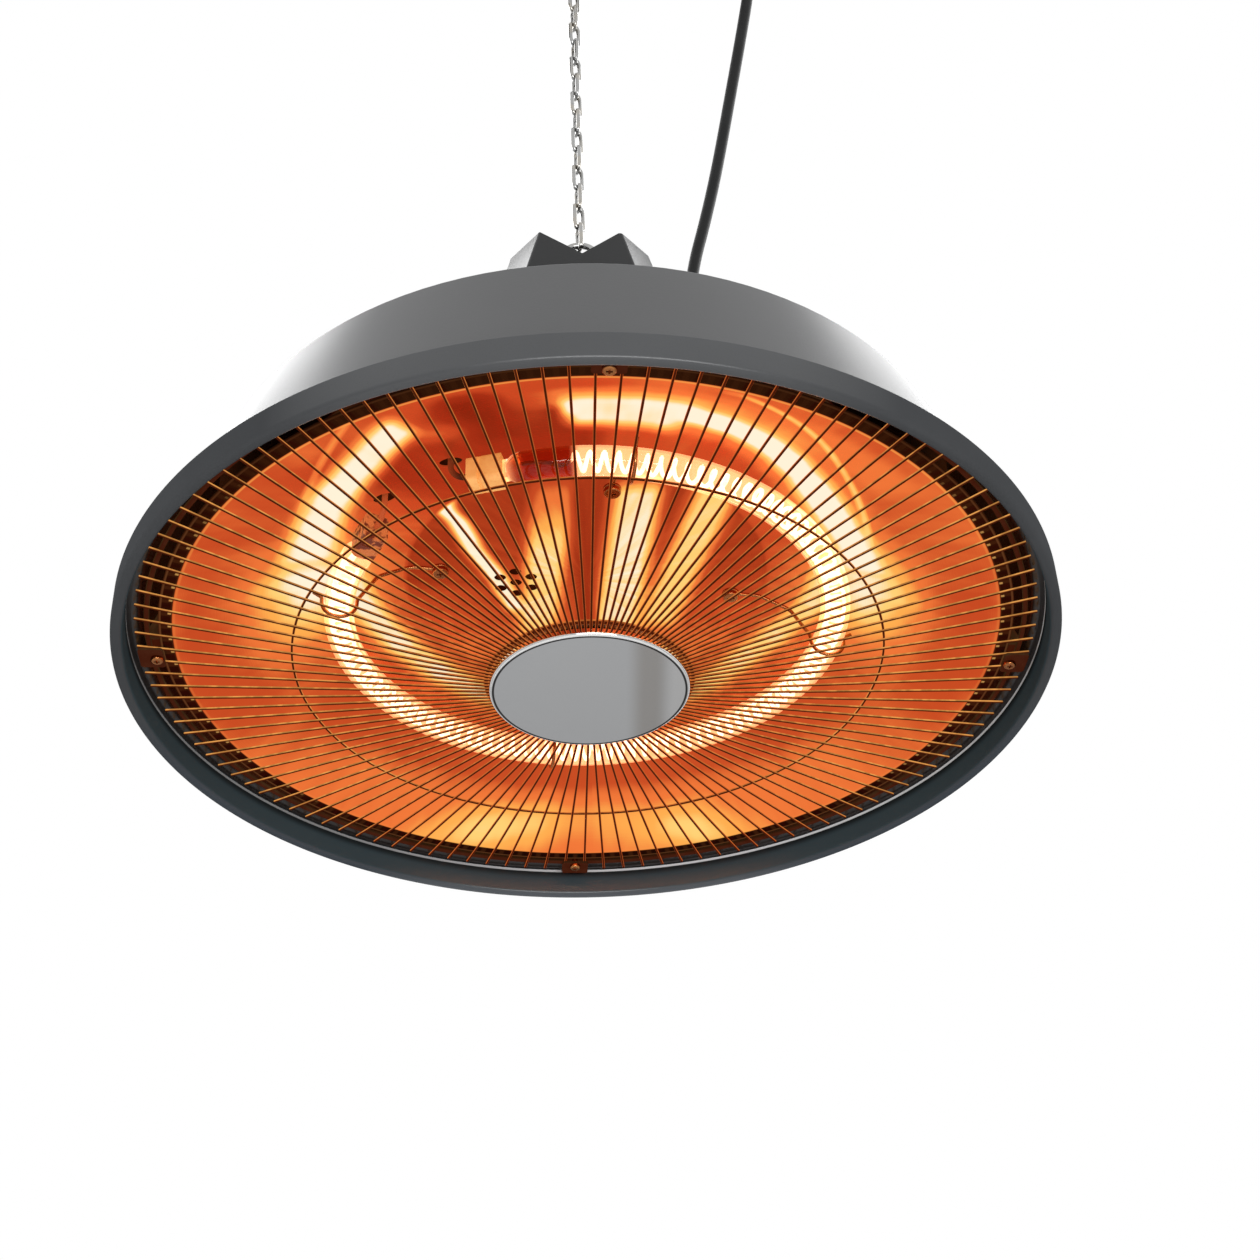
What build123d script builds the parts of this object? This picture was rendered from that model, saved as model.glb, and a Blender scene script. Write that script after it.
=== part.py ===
from build123d import *
import math
import os

# Hanging infrared patio heater, in millimetres. Heights are counted from the rim's lowest edge while the
# pieces are made, and save() moves them down so that the origin is the hook's upper bearing point.

# Rim channel and shade
RIM_R = 215.0
RIM_WIDTH = 5.5
RIM_OUTER_HEIGHT = 13.0
RIM_INNER_HEIGHT = 15.0
RIM_SHEET = 1.0
RIM_ROUND = 2.2
SHADE_SHEET = 1.2
SHADE_EDGE_GAP = 1.5  # between the shade's turned-down edge and the channel's outer wall
SHADE_EDGE_Z = 3.5
SHOULDER_Z = 16.7
SHOULDER_ROUND = 2.4
WALL_INSET = 9.5  # from the rim to the foot of the wall
WALL_BASE_R = RIM_R - WALL_INSET
WALL_ROUND = 4.0
DRUM_LEAN = 28.8  # how far the wall leans in on its way up
DRUM_EDGE_R = WALL_BASE_R - DRUM_LEAN
DRUM_EDGE_Z = 89.0
DRUM_EDGE_ROUND = 2.5
TOP_PLATE_R = 72.0
TOP_PLATE_Z = 158.0
TOP_PLATE_ROUND = 5.0

# Reflector and heat shield
REFLECTOR_SHEET = 0.8
REFLECTOR_PLATE_R = 86.0
REFLECTOR_PLATE_Z = 58.0
REFLECTOR_INSET = 17.0  # from the foot of the wall to the reflector's edge
REFLECTOR_EDGE_R = WALL_BASE_R - REFLECTOR_INSET
REFLECTOR_EDGE_Z = 14.5
REFLECTOR_FLANGE = 7.1
REFLECTOR_FLANGE_R = REFLECTOR_EDGE_R + REFLECTOR_FLANGE
REFLECTOR_ROUND = 14.0
SCREW_RING_R = 70.0
SCREW_RING_TURN = 10.0
VENT_X = -34.0
VENT_Y = 1.2
VENT_RING_R = 8.5
VENT_HOLE_R = 2.9
VENT_COUNT = 6
SHIELD_R = 150.0
SHIELD_SHEET = 1.0
SHIELD_LIP = 9.0
SHIELD_GAP = 19.0  # from the reflector plate to the heat shield
SHIELD_POST_X = 46.0
SHIELD_POST_Y = 19.5
POST_R = 4.0

# Lamp
LAMP_R = 116.0
LAMP_Z = 33.5
TUBE_R = 7.0
TUBE_WALL = 1.0
LAMP_START = 256.8  # where the tube's arc begins, in degrees counted from +X
LAMP_SWEEP = 311.2
PINCH_LENGTH = 13.0
PINCH_WIDTH = 10.0
PINCH_THICK = 3.0
CAP_LENGTH = 15.0
CAP_WIDTH = 14.0
CAP_THICK = 11.0
CAP_GRIP = 7.0
FILAMENT_R = 4.0
FILAMENT_WIRE_R = 0.9
FILAMENT_CURLS = 100
FILAMENT_MARGINS = (11.0, 3.5)  # degrees of tube left bare at its two ends
LEAD_R = 1.3
LEAD_BEND = 8.0
LEAD_HOLE_R = 5.0
SHIELD_HOLE_SHARE = 0.838  # of the lead holes' distance from the axis, reflector to heat shield
CLIP_WIRE_R = 0.9

# Guard
SPOKE_COUNT = 120
SPOKE_TURN = 1.5
SPOKE_R = 0.6
SPOKE_INNER_R = 44.0
SPOKE_INSET = 9.0  # from the rim to the wires' outer ends
SPOKE_OUTER_R = RIM_R - SPOKE_INSET
SPOKE_INNER_Z = -2.4
SPOKE_OUTER_Z = 14.2
MID_RING_R = 135.8
MID_RING_WIRE_R = 0.6
INNER_RING_R = 47.5
INNER_RING_WIRE_R = 1.0
OUTER_RING_INSET = 5.3
OUTER_RING_R = SPOKE_OUTER_R - OUTER_RING_INSET
OUTER_RING_WIRE_R = 1.25
WELD_GAP = 0.05
DISC_R = 46.2
DISC_SHEET = 1.0
DISC_FACE_Z = -6.4
DISC_ROUND = 1.4
CLIP_TURN = 3.0
CLIP_COUNT = 4
CLIP_PLATE = 1.2
CLIP_WIDTH = 14.0
CLIP_INSET = 3.3  # from the outer ring to the clips' screws
CLIP_SCREW_R = OUTER_RING_R - CLIP_INSET
CLIP_INNER_R = CLIP_SCREW_R - 3.2
CLIP_OUTER_R = CLIP_SCREW_R + 8.1
CLIP_SHANK_R = 1.5
BRACKET_SHEET = 1.2
BRACKET_INNER_R = CLIP_SCREW_R - 6.4
BRACKET_TOP_Z = 40.0

# Crown, the folded hanger on the top plate
CROWN_SHEET = 2.0
CROWN_TOP_Z = 275.0
CROWN_FOLD_X = 21.0
CROWN_FRONT_Y = 20.0
CROWN_SIDE_X = 38.0
CROWN_FOLD_SLOPE = 0.205
CROWN_FRONT_SLOPE = 0.17
CROWN_SIDE_SLOPE = 0.25
CROWN_BEND_R = 1.8
CROWN_LAP = 6.0  # how far each flap reaches past the middle
NOTCH_DEPTH = 19.0
FOOT_WIDTH = 10.0
FOOT_SHEET = 2.0
BRIDGE_Z = 259.0
BRIDGE_SHEET = 3.0
BRIDGE_HALF_DEPTH = 10.0

# Eye bolt and chain
EYE_WIRE_R = 1.8
EYE_MEAN_R = 9.2
EYE_BEARING_Z = 283.0
EYE_SHANK_R = 3.0
EYE_SHANK_LENGTH = 17.0
LINK_COUNT = 21
LINK_PITCH = 15.7
LINK_WIRE_R = 1.25
LINK_WIDTH = 9.4
LINK_TURNS = (-72.0, 50.0)  # of even and odd links, from the plane of the eye
LINK_GAP = 0.05

# Snap hook
HOOK_TURN = LINK_TURNS[0] + 90.0  # the top link crosses the hook's bow squarely
HOOK_WIRE_R = 2.0
HOOK_BOW_R = 7.5
HOOK_HEIGHT = 45.0
GATE_R = 2.0
GATE_SLOT = 2.0
TONGUE = 1.6
GATE_PIN_R = 0.8
GATE_PIN_RISE = 15.5
PIN_PLAY = 0.05

# Power cord
CORD_R = 3.4
GLAND_X = 58.0
GLAND_Y = 48.0
GLAND_SEAT_R = 13.5
GLAND_SEAT_RISE = 7.0
GLAND_HOLE_R = 8.0
GLAND_HEX = 20.0
GLAND_BODY_HEIGHT = 6.0
GLAND_CAP_HEIGHT = 15.0
BOOT_LENGTH = 26.0
BOOT_WALL = 2.0
BOOT_TIP_WALL = 0.9
COIL_R = 50.5
COIL_X = 60.0
COIL_Y = -2.6
COIL_Z = 554.0
COIL_PITCH = 7.4
COIL_TURNS = 6.25
PLUG_GRIP_R = 12.5
PLUG_FACE_R = 18.5
PLUG_RELIEF = 14.0
PLUG_GRIP = 17.0
PLUG_FACE = 14.0
PIN_R = 2.4
PIN_LENGTH = 19.0
PIN_SPACING = 19.0
TIE_SHEET = 1.5
TIE_WIDTH = 12.0

CLEAR = 0.3
SCREW_R = 2.0

# What follows from the sizes above
HOOK_BAR_Z = EYE_BEARING_Z + LINK_COUNT * LINK_PITCH - HOOK_WIRE_R - 3 * LINK_GAP
HOOK_TOP_Z = HOOK_BAR_Z + HOOK_HEIGHT
HANG_HEIGHT = HOOK_TOP_Z - HOOK_WIRE_R  # the upper bearing point, above the rim's lowest edge
SHIELD_Z = REFLECTOR_PLATE_Z + REFLECTOR_SHEET + SHIELD_GAP
PLATE_UNDER_Z = TOP_PLATE_Z - SHADE_SHEET
ROOF_SLOPE = (TOP_PLATE_Z - DRUM_EDGE_Z) / (DRUM_EDGE_R - TOP_PLATE_R)
SPOKE_SLOPE = (SPOKE_OUTER_Z - SPOKE_INNER_Z) / (SPOKE_OUTER_R - SPOKE_INNER_R)
CROWN_BOTTOM_Z = TOP_PLATE_Z


def polar(radius, degrees, z=0.0):
    """A point at a radius and a turn from +X."""
    a = math.radians(degrees)
    return Vector(radius * math.cos(a), radius * math.sin(a), z)


def spoke_z(radius):
    """Height of a guard wire's centre at a radius."""
    return SPOKE_INNER_Z + SPOKE_SLOPE * (radius - SPOKE_INNER_R)


def reflector_z(radius):
    """Height of the reflector's lower face on its cone."""
    share = (radius - REFLECTOR_PLATE_R) / (REFLECTOR_EDGE_R - REFLECTOR_PLATE_R)
    return REFLECTOR_PLATE_Z + share * (REFLECTOR_EDGE_Z - REFLECTOR_PLATE_Z)


def roof_z(radius):
    """Height of the shade's conical roof at a radius."""
    return DRUM_EDGE_Z + ROOF_SLOPE * (DRUM_EDGE_R - radius)


def wall_r(z):
    """Outer radius of the shade's wall at a height."""
    share = (z - SHOULDER_Z) / (DRUM_EDGE_Z - SHOULDER_Z)
    return WALL_BASE_R + share * (DRUM_EDGE_R - WALL_BASE_R)


def shifted(points, distance):
    """The points of an open line moved sideways to its right by a distance, with mitred corners."""
    moved = []
    last = len(points) - 1
    for i, (x, y) in enumerate(points):
        normals = []
        for a, b in ((i - 1, i), (i, i + 1)):
            if 0 <= a and b <= last:
                dx = points[b][0] - points[a][0]
                dy = points[b][1] - points[a][1]
                size = math.hypot(dx, dy)
                normals.append((dy / size, -dx / size))
        nx = sum(n[0] for n in normals) / len(normals)
        ny = sum(n[1] for n in normals) / len(normals)
        square = nx * nx + ny * ny
        moved.append((x + distance * nx / square, y + distance * ny / square))
    return moved


def sheet_face(points, thickness, radii=None):
    """A face on the XZ plane: a line of (radius, height) points with a sheet's thickness to its right.

    Radii are those of the bends' outer sides if the thickness is negative, to the left.
    """
    other = shifted(points, thickness)
    near = [Vector(x, 0, z) for x, z in points]
    far = [Vector(x, 0, z) for x, z in other]
    if radii:
        turns = []
        for i in range(1, len(points) - 1):
            ax, ay = points[i][0] - points[i - 1][0], points[i][1] - points[i - 1][1]
            bx, by = points[i + 1][0] - points[i][0], points[i + 1][1] - points[i][1]
            turns.append(ax * by - ay * bx)
        outer = [r if t > 0 else r + thickness for r, t in zip(radii, turns)]
        inner = [r + thickness if t > 0 else r for r, t in zip(radii, turns)]
        near_line = FilletPolyline(*near, radius=outer)
        far_line = FilletPolyline(*far, radius=inner)
    else:
        near_line = Polyline(*near)
        far_line = Polyline(*far)
    ends = [Line(near[0], far[0]), Line(near[-1], far[-1])]
    edges = list(near_line.edges()) + list(far_line.edges()) + [e.edges()[0] for e in ends]
    return Face(Wire(edges))


def spun(face, degrees=360.0):
    return revolve(face, axis=Axis.Z, revolution_arc=degrees)


def bar(start, end, radius):
    """A round bar between two points."""
    start, end = Vector(*start), Vector(*end)
    way = end - start
    return Solid.make_cylinder(radius, way.length, Plane(origin=start, z_dir=way))


def tube_along(path, radius):
    """A round section swept along a path of lines and arcs."""
    begin = path.position_at(0)
    way = path.tangent_at(0)
    return sweep(Plane(origin=begin, z_dir=way) * Circle(radius), path=path)


def torus(ring_r, wire_r, z):
    return Pos(0, 0, z) * Solid.make_torus(ring_r, wire_r)


def hexagon_bar(across, height):
    """A hexagonal prism on the XY plane."""
    return extrude(RegularPolygon(across / 2, 6, major_radius=False), height)


def join(parts):
    """Several separate solids as one node."""
    return Compound(children=[s for p in parts for s in p.solids()])


def route_path(points, radius, name):
    """Straight runs joined by tangent arcs, each as large as its two runs allow; prints the radii."""
    corners = [Vector(*p) for p in points]
    radii = []
    for a, b, c in zip(corners, corners[1:], corners[2:]):
        run = min((b - a).length, (c - b).length)
        turn = math.radians((b - a).get_angle(c - b))
        radii.append(0.45 * run / math.tan(turn / 2))
    print(name, "radii in diameters", [round(r / (2 * radius), 1) for r in radii])
    return FilletPolyline(*corners, radius=radii)


def biarc(start, start_way, end, end_way):
    """Two tangent arcs from one point and direction to another."""
    v = end - start
    t = start_way + end_way
    a = 2 * (1 - start_way.dot(end_way))
    b = v.dot(t)
    if a < 1e-9:
        d = v.dot(v) / (4 * v.dot(end_way))
    else:
        d = (-b + math.sqrt(b * b + a * v.dot(v))) / a
    p = start + start_way * d
    q = end - end_way * d
    middle = (p + q) * 0.5
    return [
        TangentArc(start, middle, tangent=start_way),
        TangentArc(middle, end, tangent=(q - p).normalized()),
    ]


def winding(place, first, last, steps):
    """A wire of biarcs through a curve given by a function of its parameter."""
    h = (last - first) / steps * 1e-3
    knots = []
    for i in range(steps + 1):
        s = first + (last - first) * i / steps
        way = (place(s + h) - place(s - h)).normalized()
        knots.append((place(s), way))
    edges = []
    for (p, v), (q, w) in zip(knots, knots[1:]):
        for arc in biarc(p, v, q, w):
            edges += arc.edges()
    return Wire(edges)


def least_self_gap(place, first, last, samples, skip, radius):
    """The least distance between the surfaces of two turns, measured on points."""
    pts = [place(first + (last - first) * i / samples) for i in range(samples + 1)]
    least = 1e9
    for i, p in enumerate(pts):
        for q in pts[i + skip :]:
            gap = (p - q).length
            if gap < least:
                least = gap
    return least - 2 * radius


def save(name, part):
    solids = part.solids()
    moved = [Pos(0, 0, -HANG_HEIGHT) * s for s in solids]
    export_step(Compound(children=moved) if len(moved) > 1 else moved[0], f"parts/{name}.step")


# Rim and shade
def rim_channel():
    """A U-shaped steel trim, open upwards, that closes over the shade's turned-down edge."""
    outer = RIM_R
    inner = RIM_R - RIM_WIDTH
    line = [(inner, RIM_INNER_HEIGHT), (inner, 0.0), (outer, 0.0), (outer, RIM_OUTER_HEIGHT)]
    return spun(sheet_face(line, -RIM_SHEET, [RIM_ROUND] * 2))


def gland_seat():
    """Outer and inner plugs of the raised flat that carries the cable gland."""
    top = roof_z(math.hypot(GLAND_X, GLAND_Y)) + GLAND_SEAT_RISE
    low = roof_z(math.hypot(GLAND_X, GLAND_Y) + GLAND_SEAT_R) - 2 * SHADE_SHEET
    outer = Pos(GLAND_X, GLAND_Y, low) * Cylinder(
        GLAND_SEAT_R, top - low, align=(Align.CENTER, Align.CENTER, Align.MIN)
    )
    inner = Pos(GLAND_X, GLAND_Y, low - 20) * Cylinder(
        GLAND_SEAT_R - SHADE_SHEET,
        top - SHADE_SHEET - low + 20,
        align=(Align.CENTER, Align.CENTER, Align.MIN),
    )
    return outer, inner, top


def under_roof():
    """The space inside the shade, below its conical roof and top plate."""
    drop = SHADE_SHEET * math.sqrt(1 + ROOF_SLOPE**2)
    low = DRUM_EDGE_Z - 20
    line = [
        (0, low),
        (DRUM_EDGE_R - 25, low),
        (DRUM_EDGE_R - 25, roof_z(DRUM_EDGE_R - 25) - drop),
        (TOP_PLATE_R, TOP_PLATE_Z - drop),
        (0, PLATE_UNDER_Z - (drop - SHADE_SHEET)),
    ]
    return spun(Face(Wire(Polyline(*[Vector(x, 0, z) for x, z in line], close=True).edges())))


def shade():
    edge_r = RIM_R - RIM_SHEET - SHADE_EDGE_GAP
    line = [
        (edge_r, SHADE_EDGE_Z),
        (edge_r, SHOULDER_Z),
        (WALL_BASE_R, SHOULDER_Z),
        (DRUM_EDGE_R, DRUM_EDGE_Z),
        (TOP_PLATE_R, TOP_PLATE_Z),
        (0.0, TOP_PLATE_Z),
    ]
    rounds = [SHOULDER_ROUND, WALL_ROUND, DRUM_EDGE_ROUND, TOP_PLATE_ROUND]
    shell = spun(sheet_face(line, -SHADE_SHEET, rounds))
    outer, inner, top = gland_seat()
    shell = shell + (outer - under_roof()) - inner
    shell -= Pos(GLAND_X, GLAND_Y, top) * Cylinder(GLAND_HOLE_R + PIN_PLAY, 30)
    for x, y in foot_screw_places() + post_places():
        shell -= Pos(x, y, TOP_PLATE_Z) * Cylinder(SCREW_R + 0.2, 10)
    return shell


# Crown
def crown_hexagon(z, inset=0.0, setback=0.0):
    """The crown's six corners at a height, moved inwards by a sheet's thickness or set back in depth."""
    down = CROWN_TOP_Z - z
    fold = CROWN_FOLD_X + CROWN_FOLD_SLOPE * down
    front = CROWN_FRONT_Y + CROWN_FRONT_SLOPE * down
    side = CROWN_SIDE_X + CROWN_SIDE_SLOPE * down
    slant = (side - fold) / front
    fold += setback * slant
    front -= setback
    if inset:
        grow = math.hypot(1.0, slant)
        side -= inset * grow
        front -= inset
        fold = side - slant * front
    return [(fold, -front), (side, 0), (fold, front), (-fold, front), (-side, 0), (-fold, -front)]


def crown_frustum(low, high, inset=0.0, setback=0.0):
    faces = []
    for z in (low, high):
        corners = [Vector(x, y, z) for x, y in crown_hexagon(z, inset, setback)]
        faces.append(Face(Wire(Polyline(*corners, close=True).edges())))
    return Solid.make_loft([f.outer_wire() for f in faces], ruled=True)


def foot_screw_places():
    """The four crown screws, in the middle of the slanted sides' feet."""
    corners = crown_hexagon(CROWN_BOTTOM_Z, CROWN_SHEET + FOOT_WIDTH / 2)
    places = []
    for a, b in ((0, 1), (1, 2), (3, 4), (4, 5)):
        places.append(((corners[a][0] + corners[b][0]) / 2, (corners[a][1] + corners[b][1]) / 2))
    return places


def post_places():
    return [(SHIELD_POST_X, 0), (0, SHIELD_POST_Y), (-SHIELD_POST_X, 0), (0, -SHIELD_POST_Y)]


def crown_half(side):
    """One folded half: side is -1 for the left one, whose flaps lie outside, and 1 for the right one."""
    setback = 0.0 if side < 0 else CROWN_SHEET + 0.1
    outer = crown_frustum(CROWN_BOTTOM_Z, CROWN_TOP_Z, 0.0, setback)
    slanted = [e for e in outer.edges() if abs(e.tangent_at(0.5).Z) > 0.5]
    outer = outer.fillet(CROWN_BEND_R, slanted)
    inner = crown_frustum(CROWN_BOTTOM_Z - 1, CROWN_TOP_Z + 1, CROWN_SHEET, setback)
    shell = outer - inner
    foot = crown_frustum(CROWN_BOTTOM_Z, CROWN_BOTTOM_Z + FOOT_SHEET, CROWN_SHEET / 2, setback)
    foot -= crown_frustum(
        CROWN_BOTTOM_Z - 1, CROWN_BOTTOM_Z + FOOT_SHEET + 1, CROWN_SHEET + FOOT_WIDTH, setback
    )
    width = 2 * (CROWN_SIDE_X + CROWN_SIDE_SLOPE * (CROWN_TOP_Z - CROWN_BOTTOM_Z))
    tall = CROWN_TOP_Z - CROWN_BOTTOM_Z + 10
    keep = Pos(side * (width / 2 - CROWN_LAP), 0, CROWN_BOTTOM_Z + tall / 2 - 5) * Box(
        width, width, tall
    )
    foot_keep = Pos(side * (width / 2 + CROWN_LAP + CLEAR), 0, CROWN_BOTTOM_Z) * Box(width, width, 10)
    rise = NOTCH_DEPTH / CROWN_FOLD_X
    reach = CROWN_LAP + 3
    high = CROWN_TOP_Z + 5
    corners = [
        (side * CROWN_FOLD_X, CROWN_TOP_Z),
        (-side * reach, CROWN_TOP_Z - NOTCH_DEPTH - rise * reach),
        (-side * reach, high),
        (side * CROWN_FOLD_X, high),
    ]
    blade = Face(Wire(Polyline(*[Vector(x, 0, z) for x, z in corners], close=True).edges()))
    notch = extrude(blade, amount=width, dir=(0, 1, 0), both=True)
    half = (shell & keep) - notch
    half += foot & foot_keep
    for x, y in foot_screw_places():
        if x * side > 0:
            half -= Pos(x, y, CROWN_BOTTOM_Z) * Cylinder(SCREW_R + 0.2, 10)
    return half


def eye_bridge():
    """The cross plate that carries the eye bolt, welded between the crown's slanted sides."""
    block = crown_frustum(BRIDGE_Z, BRIDGE_Z + BRIDGE_SHEET, CROWN_SHEET + 0.1)
    block &= Pos(0, 0, BRIDGE_Z) * Box(4 * CROWN_SIDE_X, 2 * BRIDGE_HALF_DEPTH, 20)
    return block - Pos(0, 0, BRIDGE_Z) * Cylinder(EYE_SHANK_R + PIN_PLAY, 20)


def eye_bolt():
    centre = EYE_BEARING_Z - EYE_MEAN_R + EYE_WIRE_R
    ring = Pos(0, 0, centre) * (Rot(90, 0, 0) * Solid.make_torus(EYE_MEAN_R, EYE_WIRE_R))
    low = BRIDGE_Z - EYE_SHANK_LENGTH + BRIDGE_SHEET
    shank = bar((0, 0, low), (0, 0, centre - EYE_MEAN_R), EYE_SHANK_R)
    collar_z = BRIDGE_Z + BRIDGE_SHEET
    collar = bar((0, 0, collar_z), (0, 0, collar_z + 2.5), 1.8 * EYE_SHANK_R)
    return ring + shank + collar


def eye_nuts():
    """A washer and two locked nuts below the bridge."""
    hole = Pos(0, 0, BRIDGE_Z) * Cylinder(EYE_SHANK_R + PIN_PLAY, 60)
    washer = bar((0, 0, BRIDGE_Z - 1.6), (0, 0, BRIDGE_Z), 6.0) - hole
    nuts = []
    for z in (BRIDGE_Z - 6.6, BRIDGE_Z - 11.6):
        nuts.append(Pos(0, 0, z) * hexagon_bar(10.0, 4.9) - hole)
    return join([washer] + nuts)


def head_screw(place, way, length, head_r=3.6, head_h=2.2, shank=SCREW_R):
    """A pan-head screw: place is under its head, and way points along its shank."""
    at = (Align.CENTER, Align.CENTER, Align.MIN)
    head = Pos(0, 0, -head_h) * Cylinder(head_r, head_h, align=at)
    head = fillet(head.edges().sort_by(Axis.Z)[0:1], 0.9)
    slot = Pos(0, 0, -head_h) * (Box(0.9 * head_r, 0.8, 2.0) + Box(0.8, 0.9 * head_r, 2.0))
    screw = head + Cylinder(shank, length, align=at) - slot
    return Plane(origin=Vector(*place), z_dir=Vector(*way)) * screw


def foot_screws():
    """The crown's four screws, with their nuts under the top plate."""
    parts = []
    for x, y in foot_screw_places():
        parts.append(head_screw((x, y, CROWN_BOTTOM_Z + FOOT_SHEET), (0, 0, -1), 9.0))
        nut = Pos(x, y, PLATE_UNDER_Z - 3.2) * hexagon_bar(7.0, 3.2)
        parts.append(nut - Pos(x, y, PLATE_UNDER_Z) * Cylinder(SCREW_R + PIN_PLAY, 20))
    return join(parts)


# Reflector, heat shield and what carries them
def reflector():
    line = [
        (0.0, REFLECTOR_PLATE_Z),
        (REFLECTOR_PLATE_R, REFLECTOR_PLATE_Z),
        (REFLECTOR_EDGE_R, REFLECTOR_EDGE_Z),
        (REFLECTOR_FLANGE_R, REFLECTOR_EDGE_Z),
    ]
    dish = spun(sheet_face(line, -REFLECTOR_SHEET, [REFLECTOR_ROUND, 1.0]))
    for k in range(4):
        spot = polar(SCREW_RING_R, SCREW_RING_TURN + 90 * k)
        dish -= Pos(spot.X, spot.Y, REFLECTOR_PLATE_Z) * Cylinder(SCREW_R + 0.2, 8)
    dish -= Pos(VENT_X, VENT_Y, REFLECTOR_PLATE_Z) * Cylinder(VENT_HOLE_R, 8)
    for k in range(VENT_COUNT):
        spot = polar(VENT_RING_R, 360 * k / VENT_COUNT + 30)
        dish -= Pos(VENT_X + spot.X, VENT_Y + spot.Y, REFLECTOR_PLATE_Z) * Cylinder(VENT_HOLE_R, 8)
    for x, y in lead_holes():
        dish -= Pos(x, y, reflector_z(LAMP_R)) * Cylinder(LEAD_HOLE_R, 40)
    return dish


def heat_shield():
    line = [(0.0, SHIELD_Z), (SHIELD_R, SHIELD_Z), (SHIELD_R, SHIELD_Z + SHIELD_LIP)]
    plate = spun(sheet_face(line, -SHIELD_SHEET, [2.0]))
    for k in range(4):
        spot = polar(SCREW_RING_R, SCREW_RING_TURN + 90 * k)
        plate -= Pos(spot.X, spot.Y, SHIELD_Z) * Cylinder(SCREW_R + 0.2, 8)
    for x, y in post_places():
        plate -= Pos(x, y, SHIELD_Z) * Cylinder(SCREW_R + 0.2, 8)
    for x, y in lead_holes():
        spot = Pos(x * SHIELD_HOLE_SHARE, y * SHIELD_HOLE_SHARE, SHIELD_Z)
        plate -= spot * Cylinder(LEAD_HOLE_R, 8)
    return plate


def reflector_standoffs():
    """Four spacer tubes between the reflector plate and the heat shield."""
    low = REFLECTOR_PLATE_Z + REFLECTOR_SHEET
    parts = []
    for k in range(4):
        spot = polar(SCREW_RING_R, SCREW_RING_TURN + 90 * k)
        hole = Pos(spot.X, spot.Y, low) * Cylinder(SCREW_R + PIN_PLAY, 4 * SHIELD_GAP)
        parts.append(bar((spot.X, spot.Y, low), (spot.X, spot.Y, SHIELD_Z), POST_R) - hole)
    return join(parts)


def lamp_clip_screws():
    """Four long screws that hold lamp clips, reflector, spacers and heat shield together."""
    parts = []
    low = REFLECTOR_PLATE_Z - 2 * CLIP_WIRE_R - 0.1
    top = SHIELD_Z + SHIELD_SHEET
    for k in range(4):
        spot = polar(SCREW_RING_R, SCREW_RING_TURN + 90 * k)
        parts.append(head_screw((spot.X, spot.Y, low), (0, 0, 1), top + 4.5 - low, head_r=3.9))
        nut = Pos(spot.X, spot.Y, top) * hexagon_bar(7.0, 3.2)
        parts.append(nut - Pos(spot.X, spot.Y, top) * Cylinder(SCREW_R + PIN_PLAY, 20))
    return join(parts)


def shield_posts():
    """Four posts that hang the heat shield from the top plate."""
    return join([bar((x, y, SHIELD_Z + SHIELD_SHEET), (x, y, PLATE_UNDER_Z), POST_R) for x, y in post_places()])


def post_screws():
    """Screws into both ends of the posts; their shanks stop at the posts' ends."""
    parts = []
    for x, y in post_places():
        parts.append(head_screw((x, y, TOP_PLATE_Z), (0, 0, -1), SHADE_SHEET - PIN_PLAY))
        parts.append(head_screw((x, y, SHIELD_Z), (0, 0, 1), SHIELD_SHEET - PIN_PLAY))
    return join(parts)


# Lamp
def lamp_end_plane(end):
    """The plane at a tube end, its z axis pointing out of the tube along the straight extension."""
    turn = LAMP_START if end == 0 else LAMP_START + LAMP_SWEEP
    place = polar(LAMP_R, turn, LAMP_Z)
    a = math.radians(turn)
    way = Vector(-math.sin(a), math.cos(a), 0) * (-1 if end == 0 else 1)
    return Plane(origin=place, x_dir=Vector(0, 0, 1), z_dir=way)


def lamp_tube():
    ring = Circle(TUBE_R) - Circle(TUBE_R - TUBE_WALL)
    start = Rot(0, 0, LAMP_START)
    profile = start * (Plane.XZ * Pos(LAMP_R, LAMP_Z) * ring)
    tube = revolve(profile, axis=Axis.Z, revolution_arc=LAMP_SWEEP)
    for end in (0, 1):
        plane = lamp_end_plane(end)
        shoulder = plane * Solid.make_sphere(TUBE_R, angle1=0, angle2=90)
        pinch = plane * (
            Pos(0, 0, TUBE_R * 0.3)
            * Box(
                PINCH_WIDTH,
                PINCH_THICK,
                PINCH_LENGTH,
                align=(Align.CENTER, Align.CENTER, Align.MIN),
            )
        )
        tube = tube + shoulder + pinch
    return tube


def cap_start():
    """How far along the straight extension the ceramic cap begins."""
    return TUBE_R * 0.3 + PINCH_LENGTH - CAP_GRIP


def lamp_end_caps():
    parts = []
    for end in (0, 1):
        plane = lamp_end_plane(end)
        at = (Align.CENTER, Align.CENTER, Align.MIN)
        block = Box(CAP_WIDTH, CAP_THICK, CAP_LENGTH, align=at)
        block = fillet(block.edges().filter_by(Axis.Z), 2.5)
        pocket = Box(PINCH_WIDTH + 0.3, PINCH_THICK + 0.3, CAP_GRIP + 0.2, align=at)
        groove = Pos(0, 0, CAP_LENGTH * 0.62) * (Cylinder(20, 1.6) - Box(CAP_WIDTH - 1.6, CAP_THICK - 1.6, 4))
        cap = block - pocket - groove
        cap -= Pos(0, 0, CAP_LENGTH) * Cylinder(LEAD_R + PIN_PLAY, 12)
        parts.append(plane * (Pos(0, 0, cap_start()) * cap))
    return join(parts)


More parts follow.
